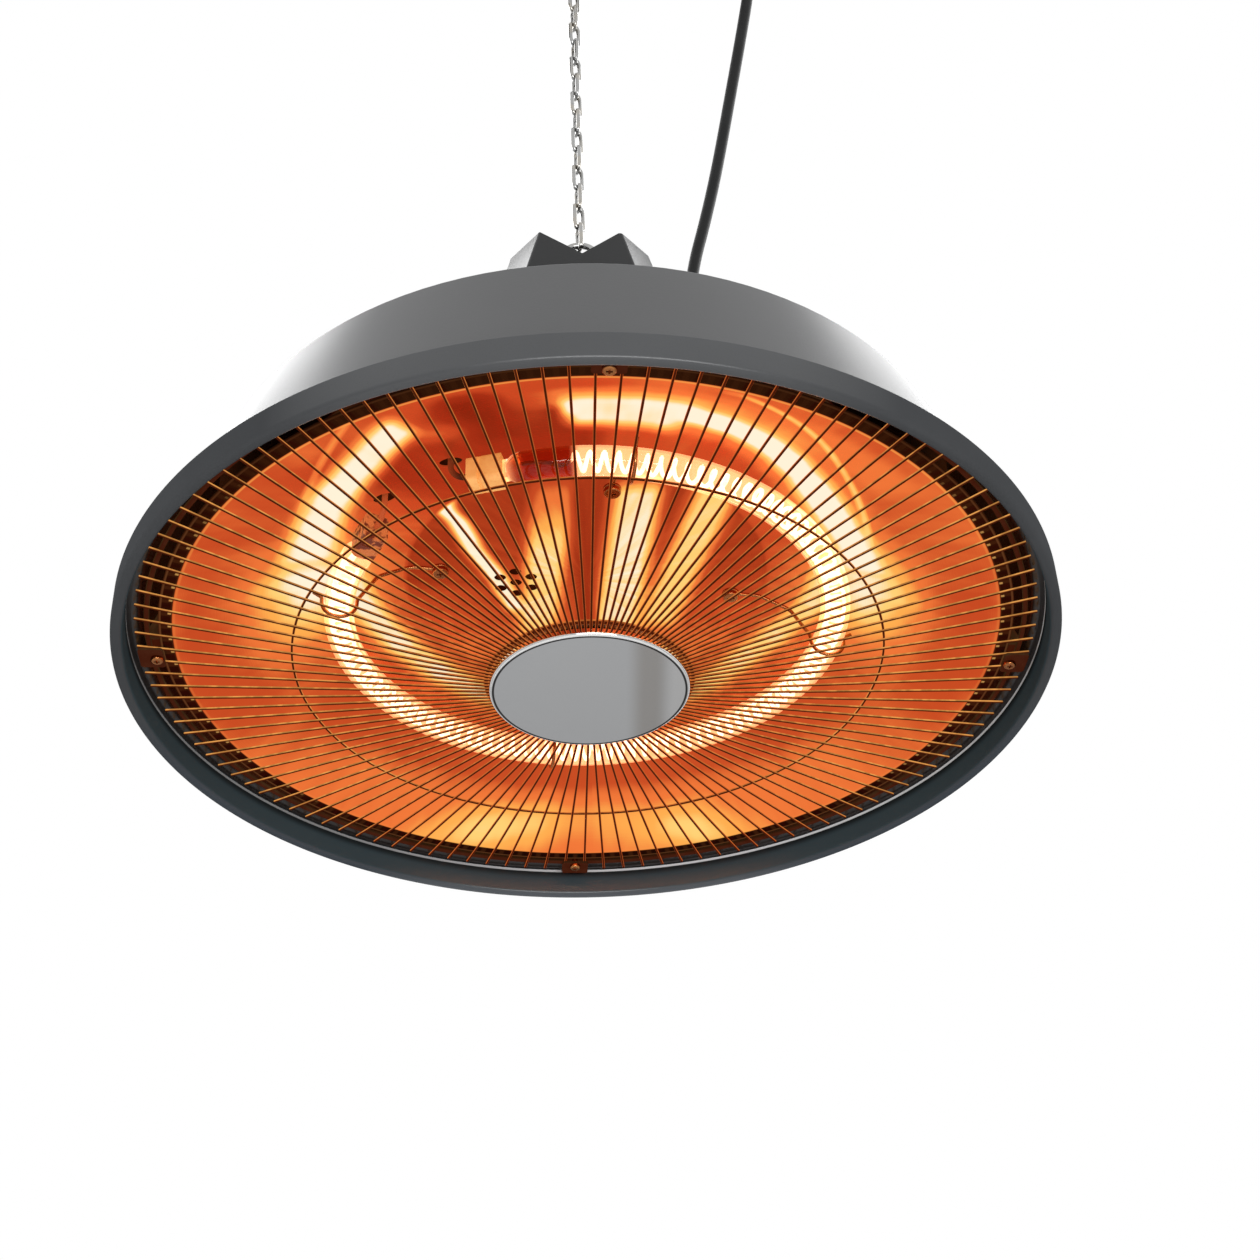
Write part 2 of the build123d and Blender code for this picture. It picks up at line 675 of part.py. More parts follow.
def filament_place(turns):
    """The filament's centreline: a helix wound round the tube's own curved axis."""
    share = turns / FILAMENT_CURLS
    around = LAMP_START + FILAMENT_MARGINS[0] + (LAMP_SWEEP - sum(FILAMENT_MARGINS)) * share
    a = 2 * math.pi * turns
    return polar(LAMP_R + FILAMENT_R * math.cos(a), around, LAMP_Z + FILAMENT_R * math.sin(a))


def filament_leg(end):
    """The straight run and the arcs from a tube end's seal to the first curl."""
    plane = lamp_end_plane(end)
    seal = plane.from_local_coords(Vector(0.5 * FILAMENT_R, 0, -0.05))
    inner = seal - plane.z_dir * 2.0
    turns = 0.0 if end == 0 else float(FILAMENT_CURLS)
    step = 1e-3
    way = (filament_place(turns + step) - filament_place(turns - step)).normalized()
    arcs = []
    if end == 0:
        arcs += Line(seal, inner).edges()
        for arc in biarc(inner, plane.z_dir * -1, filament_place(turns), way):
            arcs += arc.edges()
    else:
        for arc in biarc(filament_place(turns), way, inner, plane.z_dir):
            arcs += arc.edges()
        arcs += Line(inner, seal).edges()
    return arcs


def filament():
    """The glowing wire, held at both ends in the tube's seals."""
    coil = winding(filament_place, 0.0, float(FILAMENT_CURLS), 2 * FILAMENT_CURLS)
    gap = least_self_gap(filament_place, 0.0, 3.0, 240, 40, FILAMENT_WIRE_R)
    print("filament least self gap", round(gap, 2))
    edges = filament_leg(0) + list(coil.edges()) + filament_leg(1)
    return tube_along(Wire(edges), FILAMENT_WIRE_R)


def lead_holes():
    """Where the two lamp leads pass up through the reflector, just beyond the end caps."""
    places = []
    for end in (0, 1):
        plane = lamp_end_plane(end)
        spot = plane.from_local_coords(Vector(0, 0, cap_start() + CAP_LENGTH + LEAD_BEND + 0.4))
        places.append((spot.X, spot.Y))
    return places


def lamp_leads():
    """Insulated wires from the end caps, up through the reflector and heat shield, to the terminal block."""
    parts = []
    for end, (hx, hy) in enumerate(lead_holes()):
        plane = lamp_end_plane(end)
        begin = plane.from_local_coords(Vector(0, 0, cap_start() + CAP_LENGTH - 2.5))
        side = -3.4 if end == 0 else 3.4
        points = [
            begin,
            Vector(hx, hy, LAMP_Z),
            Vector(hx, hy, SHIELD_Z - 22),
            Vector(hx * 0.86, hy * 0.86, SHIELD_Z - 6),
            Vector(hx * 0.8, hy * 0.8, SHIELD_Z + 12),
            Vector(hx * 0.5, hy * 0.5, SHIELD_Z + 34),
            Vector(hx * 0.3 - 9, hy * 0.3, TERMINAL_Z - 8),
            Vector(-TERMINAL_X - 12, side, TERMINAL_Z + 7),
            Vector(-TERMINAL_X + 2, side, TERMINAL_Z + 7),
        ]
        radii = [LEAD_BEND, 14.0, 14.0, 16.0, 18.0, 12.0, 5.0]
        parts.append(tube_along(FilletPolyline(*points, radius=radii), LEAD_R))
    return join(parts)


def lamp_clips():
    """Formed wires that hang the tube: an eye under the screw, an arm along the reflector, a cradle."""
    hold = TUBE_R + CLIP_WIRE_R + 0.15
    high = REFLECTOR_PLATE_Z - CLIP_WIRE_R - 0.05
    outer = LAMP_R + hold + 4.0
    points = [
        (SCREW_RING_R + 3.0, high),
        (SCREW_RING_R + 14.0, high),
        (LAMP_R - hold - 9.0, high - 7.0),
        (LAMP_R - hold, LAMP_Z + 2.0),
        (LAMP_R - hold, LAMP_Z - hold),
        (LAMP_R + hold, LAMP_Z - hold),
        (LAMP_R + hold, LAMP_Z + 2.0),
        (outer, reflector_z(outer) - 2.2),
    ]
    radii = [12.0, 8.0, 5.0, hold * 0.97, hold * 0.97, 2.2]
    clip_line = FilletPolyline(*[Vector(x, 0, z) for x, z in points], radius=radii)
    wire = tube_along(clip_line, CLIP_WIRE_R)
    eye = Pos(SCREW_RING_R, 0, high) * Solid.make_torus(SCREW_R + 1.25, CLIP_WIRE_R)
    one = wire + eye
    return join([Rot(0, 0, SCREW_RING_TURN + 90 * k) * one for k in range(4)])


# Guard
def guard_spokes():
    start = (SPOKE_INNER_R, 0, SPOKE_INNER_Z)
    end = (SPOKE_OUTER_R, 0, SPOKE_OUTER_Z)
    spoke = bar(start, end, SPOKE_R)
    pitch = 360 / SPOKE_COUNT
    return join([Rot(0, 0, SPOKE_TURN + pitch * k) * spoke for k in range(SPOKE_COUNT)])


def ring_over_spokes(radius, wire_r):
    """A ring wire that lies on the upper side of the spokes."""
    lift = (SPOKE_R + wire_r) * math.sqrt(1 + SPOKE_SLOPE**2) + WELD_GAP
    return torus(radius, wire_r, spoke_z(radius) + lift)


def guard_disc():
    """The bright cap under the spokes' inner ends."""
    rim_z = spoke_z(DISC_R) - SPOKE_R - CLEAR
    line = [(0.0, DISC_FACE_Z), (DISC_R, DISC_FACE_Z), (DISC_R, rim_z)]
    cap = spun(sheet_face(line, -DISC_SHEET, [DISC_ROUND]))
    stem = bar((0, 0, DISC_FACE_Z + DISC_SHEET / 2), (0, 0, spoke_z(0) + 12), SCREW_R)
    return cap + stem


def guard_disc_back():
    """The plate above the spokes' inner ends, drawn down by a nut on the cap's stud."""
    low = spoke_z(INNER_RING_R - INNER_RING_WIRE_R) + SPOKE_R + 0.15
    plate = bar((0, 0, low), (0, 0, low + 1.0), INNER_RING_R - INNER_RING_WIRE_R - CLEAR)
    plate -= bar((0, 0, low - 5), (0, 0, low + 20), SCREW_R + PIN_PLAY)
    nut = Pos(0, 0, low + 1.0) * hexagon_bar(7.0, 3.0)
    nut -= bar((0, 0, low), (0, 0, low + 20), SCREW_R + PIN_PLAY)
    return join([plate, nut])


def outer_ring_top():
    lift = (SPOKE_R + OUTER_RING_WIRE_R) * math.sqrt(1 + SPOKE_SLOPE**2) + WELD_GAP
    return spoke_z(OUTER_RING_R) + lift + OUTER_RING_WIRE_R


def clip_under_z():
    """Underside of a guard clip plate, just below the spokes it holds."""
    return spoke_z(CLIP_INNER_R) - SPOKE_R * 1.01 - 0.1 - CLIP_PLATE


def guard_brackets():
    """Angles welded inside the shade's wall; the guard's outer ring is drawn up against their feet."""
    foot_z = outer_ring_top() + 0.08
    slope = (WALL_BASE_R - DRUM_EDGE_R) / (DRUM_EDGE_Z - SHOULDER_Z)
    inside = SHADE_SHEET * math.sqrt(1 + slope**2) + 0.25
    line = [
        (BRACKET_INNER_R, foot_z),
        (wall_r(foot_z) - inside, foot_z),
        (wall_r(BRACKET_TOP_Z) - inside, BRACKET_TOP_Z),
    ]
    strip = sheet_face(line, -BRACKET_SHEET, [2.0])
    blank = extrude(strip, amount=CLIP_WIDTH / 2, dir=(0, 1, 0), both=True)
    blank -= Pos(CLIP_SCREW_R, 0, foot_z) * Cylinder(CLIP_SHANK_R + PIN_PLAY, 20)
    return join([Rot(0, 0, CLIP_TURN + 90 * k) * blank for k in range(CLIP_COUNT)])


def guard_clips():
    """Plates screwed up under two spokes each, at the shade's edge."""
    low = clip_under_z()
    length = CLIP_OUTER_R - CLIP_INNER_R
    plate = Pos(CLIP_INNER_R + length / 2, 0, low + CLIP_PLATE / 2) * Box(
        length, CLIP_WIDTH, CLIP_PLATE
    )
    plate = fillet(plate.edges().filter_by(Axis.Z), 1.5)
    plate -= Pos(CLIP_SCREW_R, 0, low) * Cylinder(CLIP_SHANK_R + PIN_PLAY, 10)
    return join([Rot(0, 0, CLIP_TURN + 90 * k) * plate for k in range(CLIP_COUNT)])


def guard_clip_screws():
    nut_z = outer_ring_top() + 0.08 + BRACKET_SHEET
    length = nut_z + 3.4 - clip_under_z()
    place = (CLIP_SCREW_R, 0, clip_under_z())
    screw = head_screw(place, (0, 0, 1), length, head_r=2.9, head_h=1.9, shank=CLIP_SHANK_R)
    nut = Pos(CLIP_SCREW_R, 0, nut_z) * (Rot(0, 0, 30) * hexagon_bar(5.5, 2.4))
    nut -= Pos(CLIP_SCREW_R, 0, nut_z) * Cylinder(CLIP_SHANK_R + PIN_PLAY, 20)
    parts = []
    for k in range(CLIP_COUNT):
        parts += [Rot(0, 0, CLIP_TURN + 90 * k) * s for s in (screw, nut)]
    return join(parts)


# Terminal block and inner cable
TERMINAL_X = 15.0
TERMINAL_Y = 8.0
TERMINAL_HEIGHT = 14.0
TERMINAL_CORD_X = 9.0
TERMINAL_Z = PLATE_UNDER_Z - TERMINAL_HEIGHT


def terminal_block():
    block = Pos(0, 0, TERMINAL_Z) * Box(
        2 * TERMINAL_X,
        2 * TERMINAL_Y,
        TERMINAL_HEIGHT,
        align=(Align.CENTER, Align.CENTER, Align.MIN),
    )
    for x in (-10.0, -3.0):
        for y in (-3.6, 3.6):
            block -= Pos(x, y, TERMINAL_Z) * Cylinder(1.9, 4)
    for y in (-3.4, 3.4):
        block -= bar((-TERMINAL_X - 1, y, TERMINAL_Z + 7), (-TERMINAL_X + 5, y, TERMINAL_Z + 7), LEAD_R + 0.1)
    block -= bar((TERMINAL_CORD_X, 0, TERMINAL_Z - 1), (TERMINAL_CORD_X, 0, TERMINAL_Z + 6), CORD_R + 0.1)
    return block


def inner_cable():
    """The cord's sheathed end inside the shade: a half loop from the gland to the terminal block."""
    across = math.hypot(GLAND_X - TERMINAL_CORD_X, GLAND_Y)
    bend = across / 2 - 1.0
    low = TERMINAL_Z - 3 - bend
    points = [
        Vector(GLAND_X, GLAND_Y, gland_top() - GLAND_BODY_HEIGHT - 14),
        Vector(GLAND_X, GLAND_Y, low),
        Vector(TERMINAL_CORD_X, 0, low),
        Vector(TERMINAL_CORD_X, 0, TERMINAL_Z + 5),
    ]
    return tube_along(FilletPolyline(*points, radius=bend), CORD_R)


# Gland
def gland_top():
    """Height of the cable gland's upper end, where the cord leaves it."""
    return gland_seat()[2] + GLAND_BODY_HEIGHT + GLAND_CAP_HEIGHT


def gland_body():
    seat = gland_seat()[2]
    shank = Pos(GLAND_X, GLAND_Y, seat - 12) * Cylinder(
        GLAND_HOLE_R, 13, align=(Align.CENTER, Align.CENTER, Align.MIN)
    )
    hexagon = Pos(GLAND_X, GLAND_Y, seat) * hexagon_bar(GLAND_HEX, GLAND_BODY_HEIGHT)
    bore = Pos(GLAND_X, GLAND_Y, seat) * Cylinder(CORD_R + PIN_PLAY, 60)
    return shank + hexagon - bore


def gland_nut():
    seat = gland_seat()[2]
    nut = Pos(GLAND_X, GLAND_Y, seat - SHADE_SHEET - 4.5) * hexagon_bar(GLAND_HEX, 4.5)
    return nut - Pos(GLAND_X, GLAND_Y, seat) * Cylinder(GLAND_HOLE_R + PIN_PLAY, 40)


def gland_cap():
    """The domed compression nut over the body."""
    low = gland_seat()[2] + GLAND_BODY_HEIGHT
    flats = GLAND_CAP_HEIGHT * 0.5
    nut = Pos(GLAND_X, GLAND_Y, low) * hexagon_bar(GLAND_HEX - 1, flats)
    dome_r = GLAND_HEX / 2 - 1.2
    dome = Pos(GLAND_X, GLAND_Y, low + flats) * Solid.make_cone(
        dome_r, CORD_R + 1.8, GLAND_CAP_HEIGHT - flats
    )
    return nut + dome


# Power cord, from the gland up to the coil, the coil, and the tail to the plug
def riser_points():
    return [
        (GLAND_X, GLAND_Y, gland_top() + BOOT_LENGTH - 1.4),
        (58.0, 47.8, 226.0),
        (58.6, 44.4, 250.0),
        (60.2, 40.0, 277.0),
        (64.4, 36.2, 306.0),
        (71.6, 32.2, 333.0),
        (78.4, 27.2, 361.0),
        (84.6, 21.4, 390.0),
        (90.6, 15.4, 420.0),
        (96.8, 9.6, 451.0),
        (102.6, 4.6, 481.0),
        (107.6, 0.4, 509.0),
        (COIL_X + COIL_R + 0.7, COIL_Y + 0.4, COIL_Z - 20.0),
        (COIL_X + COIL_R, COIL_Y, COIL_Z - 0.3),
    ]


def tail_points():
    front = COIL_Y - COIL_PITCH
    top = COIL_Z + COIL_R
    return [
        (COIL_X, front, top),
        (COIL_X - 26.0, front - 1.2, top),
        (COIL_X - 54.0, front - 7.0, top - 3.5),
        (COIL_X - 80.0, front - 15.0, top - 20.0),
        (COIL_X - 91.0, front - 18.6, top - 45.0),
        (COIL_X - 93.0, front - 19.4, top - 62.0),
    ]


def coil_place(turns):
    """The coil's centreline: in and out again in two layers, changing layer in the inmost half turn."""
    radius = COIL_R - COIL_PITCH * min(turns, COIL_TURNS - turns)
    share = min(1.0, max(0.0, 2 * (turns - COIL_TURNS / 2) + 0.5))
    y = COIL_Y - COIL_PITCH * share * share * (3 - 2 * share)
    a = 2 * math.pi * turns
    return Vector(COIL_X + radius * math.cos(a), y, COIL_Z + radius * math.sin(a))


def cord_boot():
    """The tapered, grooved sleeve that keeps the cord from kinking where it leaves the gland."""
    low = gland_top()
    at = (Align.CENTER, Align.CENTER, Align.MIN)
    boot = Solid.make_cone(CORD_R + BOOT_WALL, CORD_R + BOOT_TIP_WALL, BOOT_LENGTH)
    for k in range(5):
        ring = Cylinder(CORD_R + 5, 1.1, align=at) - Cylinder(CORD_R + 0.6, 1.1, align=at)
        boot = boot - Pos(0, 0, 5.0 + 4.0 * k) * ring
    boot -= Pos(0, 0, BOOT_LENGTH - 1.5) * Cylinder(CORD_R + PIN_PLAY, 20, align=at)
    return Pos(GLAND_X, GLAND_Y, low) * boot


def power_cord_riser():
    return tube_along(route_path(riser_points(), CORD_R, "riser"), CORD_R)


def power_cord_coil():
    """The coil and the tail that leads from it to the plug, one unbroken tube."""
    coil = winding(coil_place, 0.0, COIL_TURNS, int(COIL_TURNS * 8))
    gap = least_self_gap(coil_place, 0.0, COIL_TURNS, 420, 50, CORD_R)
    tail = route_path(tail_points(), CORD_R, "tail")
    print("coil least self gap", round(gap, 2), "length", round(coil.length), "tail", round(tail.length))
    return tube_along(Wire(list(coil.edges()) + list(tail.edges())), CORD_R)


def plug_plane():
    a, b = [Vector(*p) for p in tail_points()[-2:]]
    way = (b - a).normalized()
    return Plane(origin=b + way * 0.2, x_dir=Vector(1, 0, 0), z_dir=way)


def plug_body():
    line = [
        (0.0, 0.0),
        (CORD_R + 0.9, 0.0),
        (CORD_R + 2.4, PLUG_RELIEF),
        (PLUG_GRIP_R, PLUG_RELIEF + 4.0),
        (PLUG_GRIP_R - 1.2, PLUG_RELIEF + PLUG_GRIP),
        (PLUG_FACE_R, PLUG_RELIEF + PLUG_GRIP + 4.0),
        (PLUG_FACE_R, PLUG_RELIEF + PLUG_GRIP + PLUG_FACE),
        (0.0, PLUG_RELIEF + PLUG_GRIP + PLUG_FACE),
    ]
    face = Face(Wire(Polyline(*[Vector(x, 0, z) for x, z in line], close=True).edges()))
    body = spun(face)
    for k in range(4):
        body -= Pos(0, 0, 3.0 + 2.8 * k) * (Cylinder(CORD_R + 5, 0.9) - Cylinder(CORD_R + 0.7, 2))
    return plug_plane() * body


def plug_pins():
    face_z = PLUG_RELIEF + PLUG_GRIP + PLUG_FACE
    parts = []
    for x in (-PIN_SPACING / 2, PIN_SPACING / 2):
        pin = Pos(x, 0, face_z) * Cylinder(PIN_R, PIN_LENGTH, align=(Align.CENTER, Align.CENTER, Align.MIN))
        parts.append(plug_plane() * fillet(pin.edges().sort_by(Axis.Z)[-1:], 1.0))
    return join(parts)


def cord_tie():
    """A strap round the chain and the coil's near side."""
    left = -LINK_WIDTH / 2 + 0.9
    right = COIL_X - COIL_R + COIL_PITCH * COIL_TURNS / 2 + CORD_R + 0.4
    back = max(COIL_Y + CORD_R, LINK_WIDTH / 2) + 0.3
    front = COIL_Y - COIL_PITCH - CORD_R - 0.3
    middle = Vector((left + right) / 2, (back + front) / 2, COIL_Z)
    inner = Rectangle(right - left, back - front)
    outer = Rectangle(right - left + 2 * TIE_SHEET, back - front + 2 * TIE_SHEET)
    inner = fillet(inner.vertices(), 1.5)
    outer = fillet(outer.vertices(), 1.5 + TIE_SHEET)
    return Pos(*middle) * extrude(outer - inner, TIE_WIDTH / 2, both=True)


# Chain and snap hook
def chain():
    """Long steel links, alternately turned, from the eye up to the snap hook."""
    bend = LINK_WIDTH / 2 - LINK_WIRE_R
    side = (LINK_PITCH + LINK_GAP) / 2 + LINK_WIRE_R - bend
    edges = []
    for e in (
        Line((bend, 0, -side), (bend, 0, side)),
        ThreePointArc((bend, 0, side), (0, 0, side + bend), (-bend, 0, side)),
        Line((-bend, 0, side), (-bend, 0, -side)),
        ThreePointArc((-bend, 0, -side), (0, 0, -side - bend), (bend, 0, -side)),
    ):
        edges += e.edges()
    link = tube_along(Wire(edges), LINK_WIRE_R)
    parts = []
    for k in range(LINK_COUNT):
        centre = EYE_BEARING_Z + LINK_PITCH * (k + 0.5)
        parts.append(Pos(0, 0, centre) * (Rot(0, 0, LINK_TURNS[k % 2]) * link))
    return join(parts)


def hook_body():
    """A snap hook's bent rod, open where the gate closes it, with the gate's tongue."""
    r = HOOK_BOW_R
    low, high = HOOK_BAR_Z + r, HOOK_BAR_Z + HOOK_HEIGHT - r
    gate_low, gate_high = HOOK_BAR_Z + 11.8, HOOK_BAR_Z + HOOK_HEIGHT - 11.5
    edges = []
    for e in (
        Line((r, 0, gate_low), (r, 0, low)),
        ThreePointArc((r, 0, low), (0, 0, HOOK_BAR_Z), (-r, 0, low)),
        Line((-r, 0, low), (-r, 0, high)),
        ThreePointArc((-r, 0, high), (0, 0, HOOK_BAR_Z + HOOK_HEIGHT), (r, 0, high)),
        Line((r, 0, high), (r, 0, gate_high)),
    ):
        edges += e.edges()
    rod = tube_along(Wire(edges), HOOK_WIRE_R)
    tongue = Pos(r, 0, gate_low + 2.5) * Box(3.4, TONGUE, 7.4)
    pin_hole = Pos(r, 0, gate_pin_z()) * (Rot(90, 0, 0) * Cylinder(GATE_PIN_R, 20))
    return Rot(0, 0, HOOK_TURN) * (rod + tongue - pin_hole)


def gate_pin_z():
    return HOOK_BAR_Z + GATE_PIN_RISE


def hook_gate():
    low, high = HOOK_BAR_Z + 13.0, HOOK_BAR_Z + HOOK_HEIGHT - 12.1
    gate = bar((HOOK_BOW_R, 0, low), (HOOK_BOW_R, 0, high), GATE_R)
    gate -= Pos(HOOK_BOW_R, 0, low) * Box(10, GATE_SLOT, 13.0)
    gate -= Pos(HOOK_BOW_R, 0, gate_pin_z()) * (Rot(90, 0, 0) * Cylinder(GATE_PIN_R + PIN_PLAY, 20))
    return Rot(0, 0, HOOK_TURN) * gate


def gate_pin():
    pin = Rot(90, 0, 0) * Cylinder(GATE_PIN_R, 2 * GATE_R + 0.4)
    return Rot(0, 0, HOOK_TURN) * (Pos(HOOK_BOW_R, 0, gate_pin_z()) * pin)


NODES = {
    "rim_channel": rim_channel,
    "shade": shade,
    "crown_left": lambda: crown_half(-1),
    "crown_right": lambda: crown_half(1),
    "crown_foot_screws": foot_screws,
    "eye_bridge": eye_bridge,
    "eye_bolt": eye_bolt,
    "eye_nuts": eye_nuts,
    "reflector": reflector,
    "heat_shield": heat_shield,
    "reflector_standoffs": reflector_standoffs,
    "shield_posts": shield_posts,
    "post_screws": post_screws,
    "lamp_tube": lamp_tube,
    "lamp_filament": filament,
    "lamp_end_caps": lamp_end_caps,
    "lamp_leads": lamp_leads,
    "lamp_clips": lamp_clips,
    "lamp_clip_screws": lamp_clip_screws,
    "guard_spokes": guard_spokes,
    "guard_inner_ring": lambda: ring_over_spokes(INNER_RING_R, INNER_RING_WIRE_R),
    "guard_mid_ring": lambda: ring_over_spokes(MID_RING_R, MID_RING_WIRE_R),
    "guard_outer_ring": lambda: ring_over_spokes(OUTER_RING_R, OUTER_RING_WIRE_R),
    "guard_disc": guard_disc,
    "guard_disc_back": guard_disc_back,
    "guard_brackets": guard_brackets,
    "guard_clips": guard_clips,
    "guard_clip_screws": guard_clip_screws,
    "terminal_block": terminal_block,
    "inner_cable": inner_cable,
    "gland_body": gland_body,
    "gland_nut": gland_nut,
    "gland_cap": gland_cap,
    "cord_boot": cord_boot,
    "power_cord_riser": power_cord_riser,
    "power_cord_coil": power_cord_coil,
    "plug_body": plug_body,
    "plug_pins": plug_pins,
    "cord_tie": cord_tie,
    "chain": chain,
    "hook_body": hook_body,
    "hook_gate": hook_gate,
    "gate_pin": gate_pin,
}

if __name__ == "__main__":
    os.makedirs("parts", exist_ok=True)
    for node, make in NODES.items():
        save(node, make())
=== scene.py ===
import math

import bmesh
import bpy
from mathutils import Matrix, Vector

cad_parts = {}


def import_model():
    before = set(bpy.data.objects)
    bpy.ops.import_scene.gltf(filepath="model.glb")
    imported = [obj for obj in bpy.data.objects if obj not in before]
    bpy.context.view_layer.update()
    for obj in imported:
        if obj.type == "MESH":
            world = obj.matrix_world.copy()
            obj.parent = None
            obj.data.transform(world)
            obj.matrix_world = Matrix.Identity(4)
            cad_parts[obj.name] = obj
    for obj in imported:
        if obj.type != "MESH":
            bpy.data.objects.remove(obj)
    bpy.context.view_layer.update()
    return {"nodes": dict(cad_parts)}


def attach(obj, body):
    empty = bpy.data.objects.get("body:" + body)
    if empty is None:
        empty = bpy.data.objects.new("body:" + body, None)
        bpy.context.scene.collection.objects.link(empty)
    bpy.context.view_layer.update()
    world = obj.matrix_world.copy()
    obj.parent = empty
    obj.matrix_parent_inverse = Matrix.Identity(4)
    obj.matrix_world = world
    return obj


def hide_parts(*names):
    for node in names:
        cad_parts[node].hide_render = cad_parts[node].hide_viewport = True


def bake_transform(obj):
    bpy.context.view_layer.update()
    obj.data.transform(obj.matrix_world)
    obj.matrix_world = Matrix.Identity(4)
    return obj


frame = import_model()

# Sizes are in millimetres, and heights are counted from the rim's lowest edge.
# That edge lies HANG_HEIGHT below the hook's upper bearing point, the frame's origin.
HANG_HEIGHT = 653.55
MM = 0.001
MM_PER_METRE = 1000.0

# Power cord and coil, as in the part's source
CORD_R = 3.4
CORD_SIDES = 20
CORD_STEPS = 6
CORD_START_DEPTH = 1.4
BOOT_LENGTH = 26.0
GLAND_TOP = 183.834
COIL_R = 50.5
COIL_X = 60.0
COIL_Y = -2.6
COIL_Z = 554.0
COIL_PITCH = 7.4
COIL_TURNS = 6.25
COIL_POINTS = 16

# Rim
RIM_R = 215.0
RIM_WIDTH = 5.5
RIM_OUTER_HEIGHT = 13.0
RIM_INNER_HEIGHT = 15.0
RIM_SHEET = 1.0
RIM_ROUND = 2.2
RIM_INSIDE = RIM_R - RIM_WIDTH
RIM_SEGMENTS = 288

# Reflector: its flat plate, and the outer edge of its lit cone
PLATE_R = 86.0
CONE_EDGE_R = 188.5

# The lamp's dark section, in degrees from the near side, and the X range that parts its two ends
DARK_START = -15.0
DARK_END_WIRE = -2.6
DARK_END_GLASS = -2.0
FAR_END_X = (-50.0, -65.0)


def world(x, y, z):
    """A point given in millimetres from the rim's lowest edge, as metres in the shared frame."""
    return Vector((x * MM, y * MM, (z - HANG_HEIGHT) * MM))


# Camera, found from the rim's outline, the drum's top edge, the mid ring and the disc
CAMERA_LENS = 55.9
CAMERA_SENSOR = 36.0
CAMERA_PLACE = (0, -747.7, -500.9)
CAMERA_RIGHT = Vector((0.9995, -0.00371, -0.03152))
CAMERA_UP = Vector((0.02359, -0.57787, 0.81579))
CAMERA_AHEAD = Vector((0.02124, 0.81612, 0.57749))


def add_camera():
    data = bpy.data.cameras.new("camera")
    data.lens = CAMERA_LENS
    data.sensor_width = CAMERA_SENSOR
    data.clip_start = 0.01
    data.clip_end = 60.0
    camera = bpy.data.objects.new("camera", data)
    turn = Matrix((CAMERA_RIGHT, CAMERA_UP, -CAMERA_AHEAD)).transposed().to_4x4()
    camera.matrix_world = Matrix.Translation(world(*CAMERA_PLACE)) @ turn
    bpy.context.scene.collection.objects.link(camera)
    bpy.context.scene.camera = camera


add_camera()


# Node helpers
# The radius that an arc's curve counts as 1
ARC_REACH = 200.0


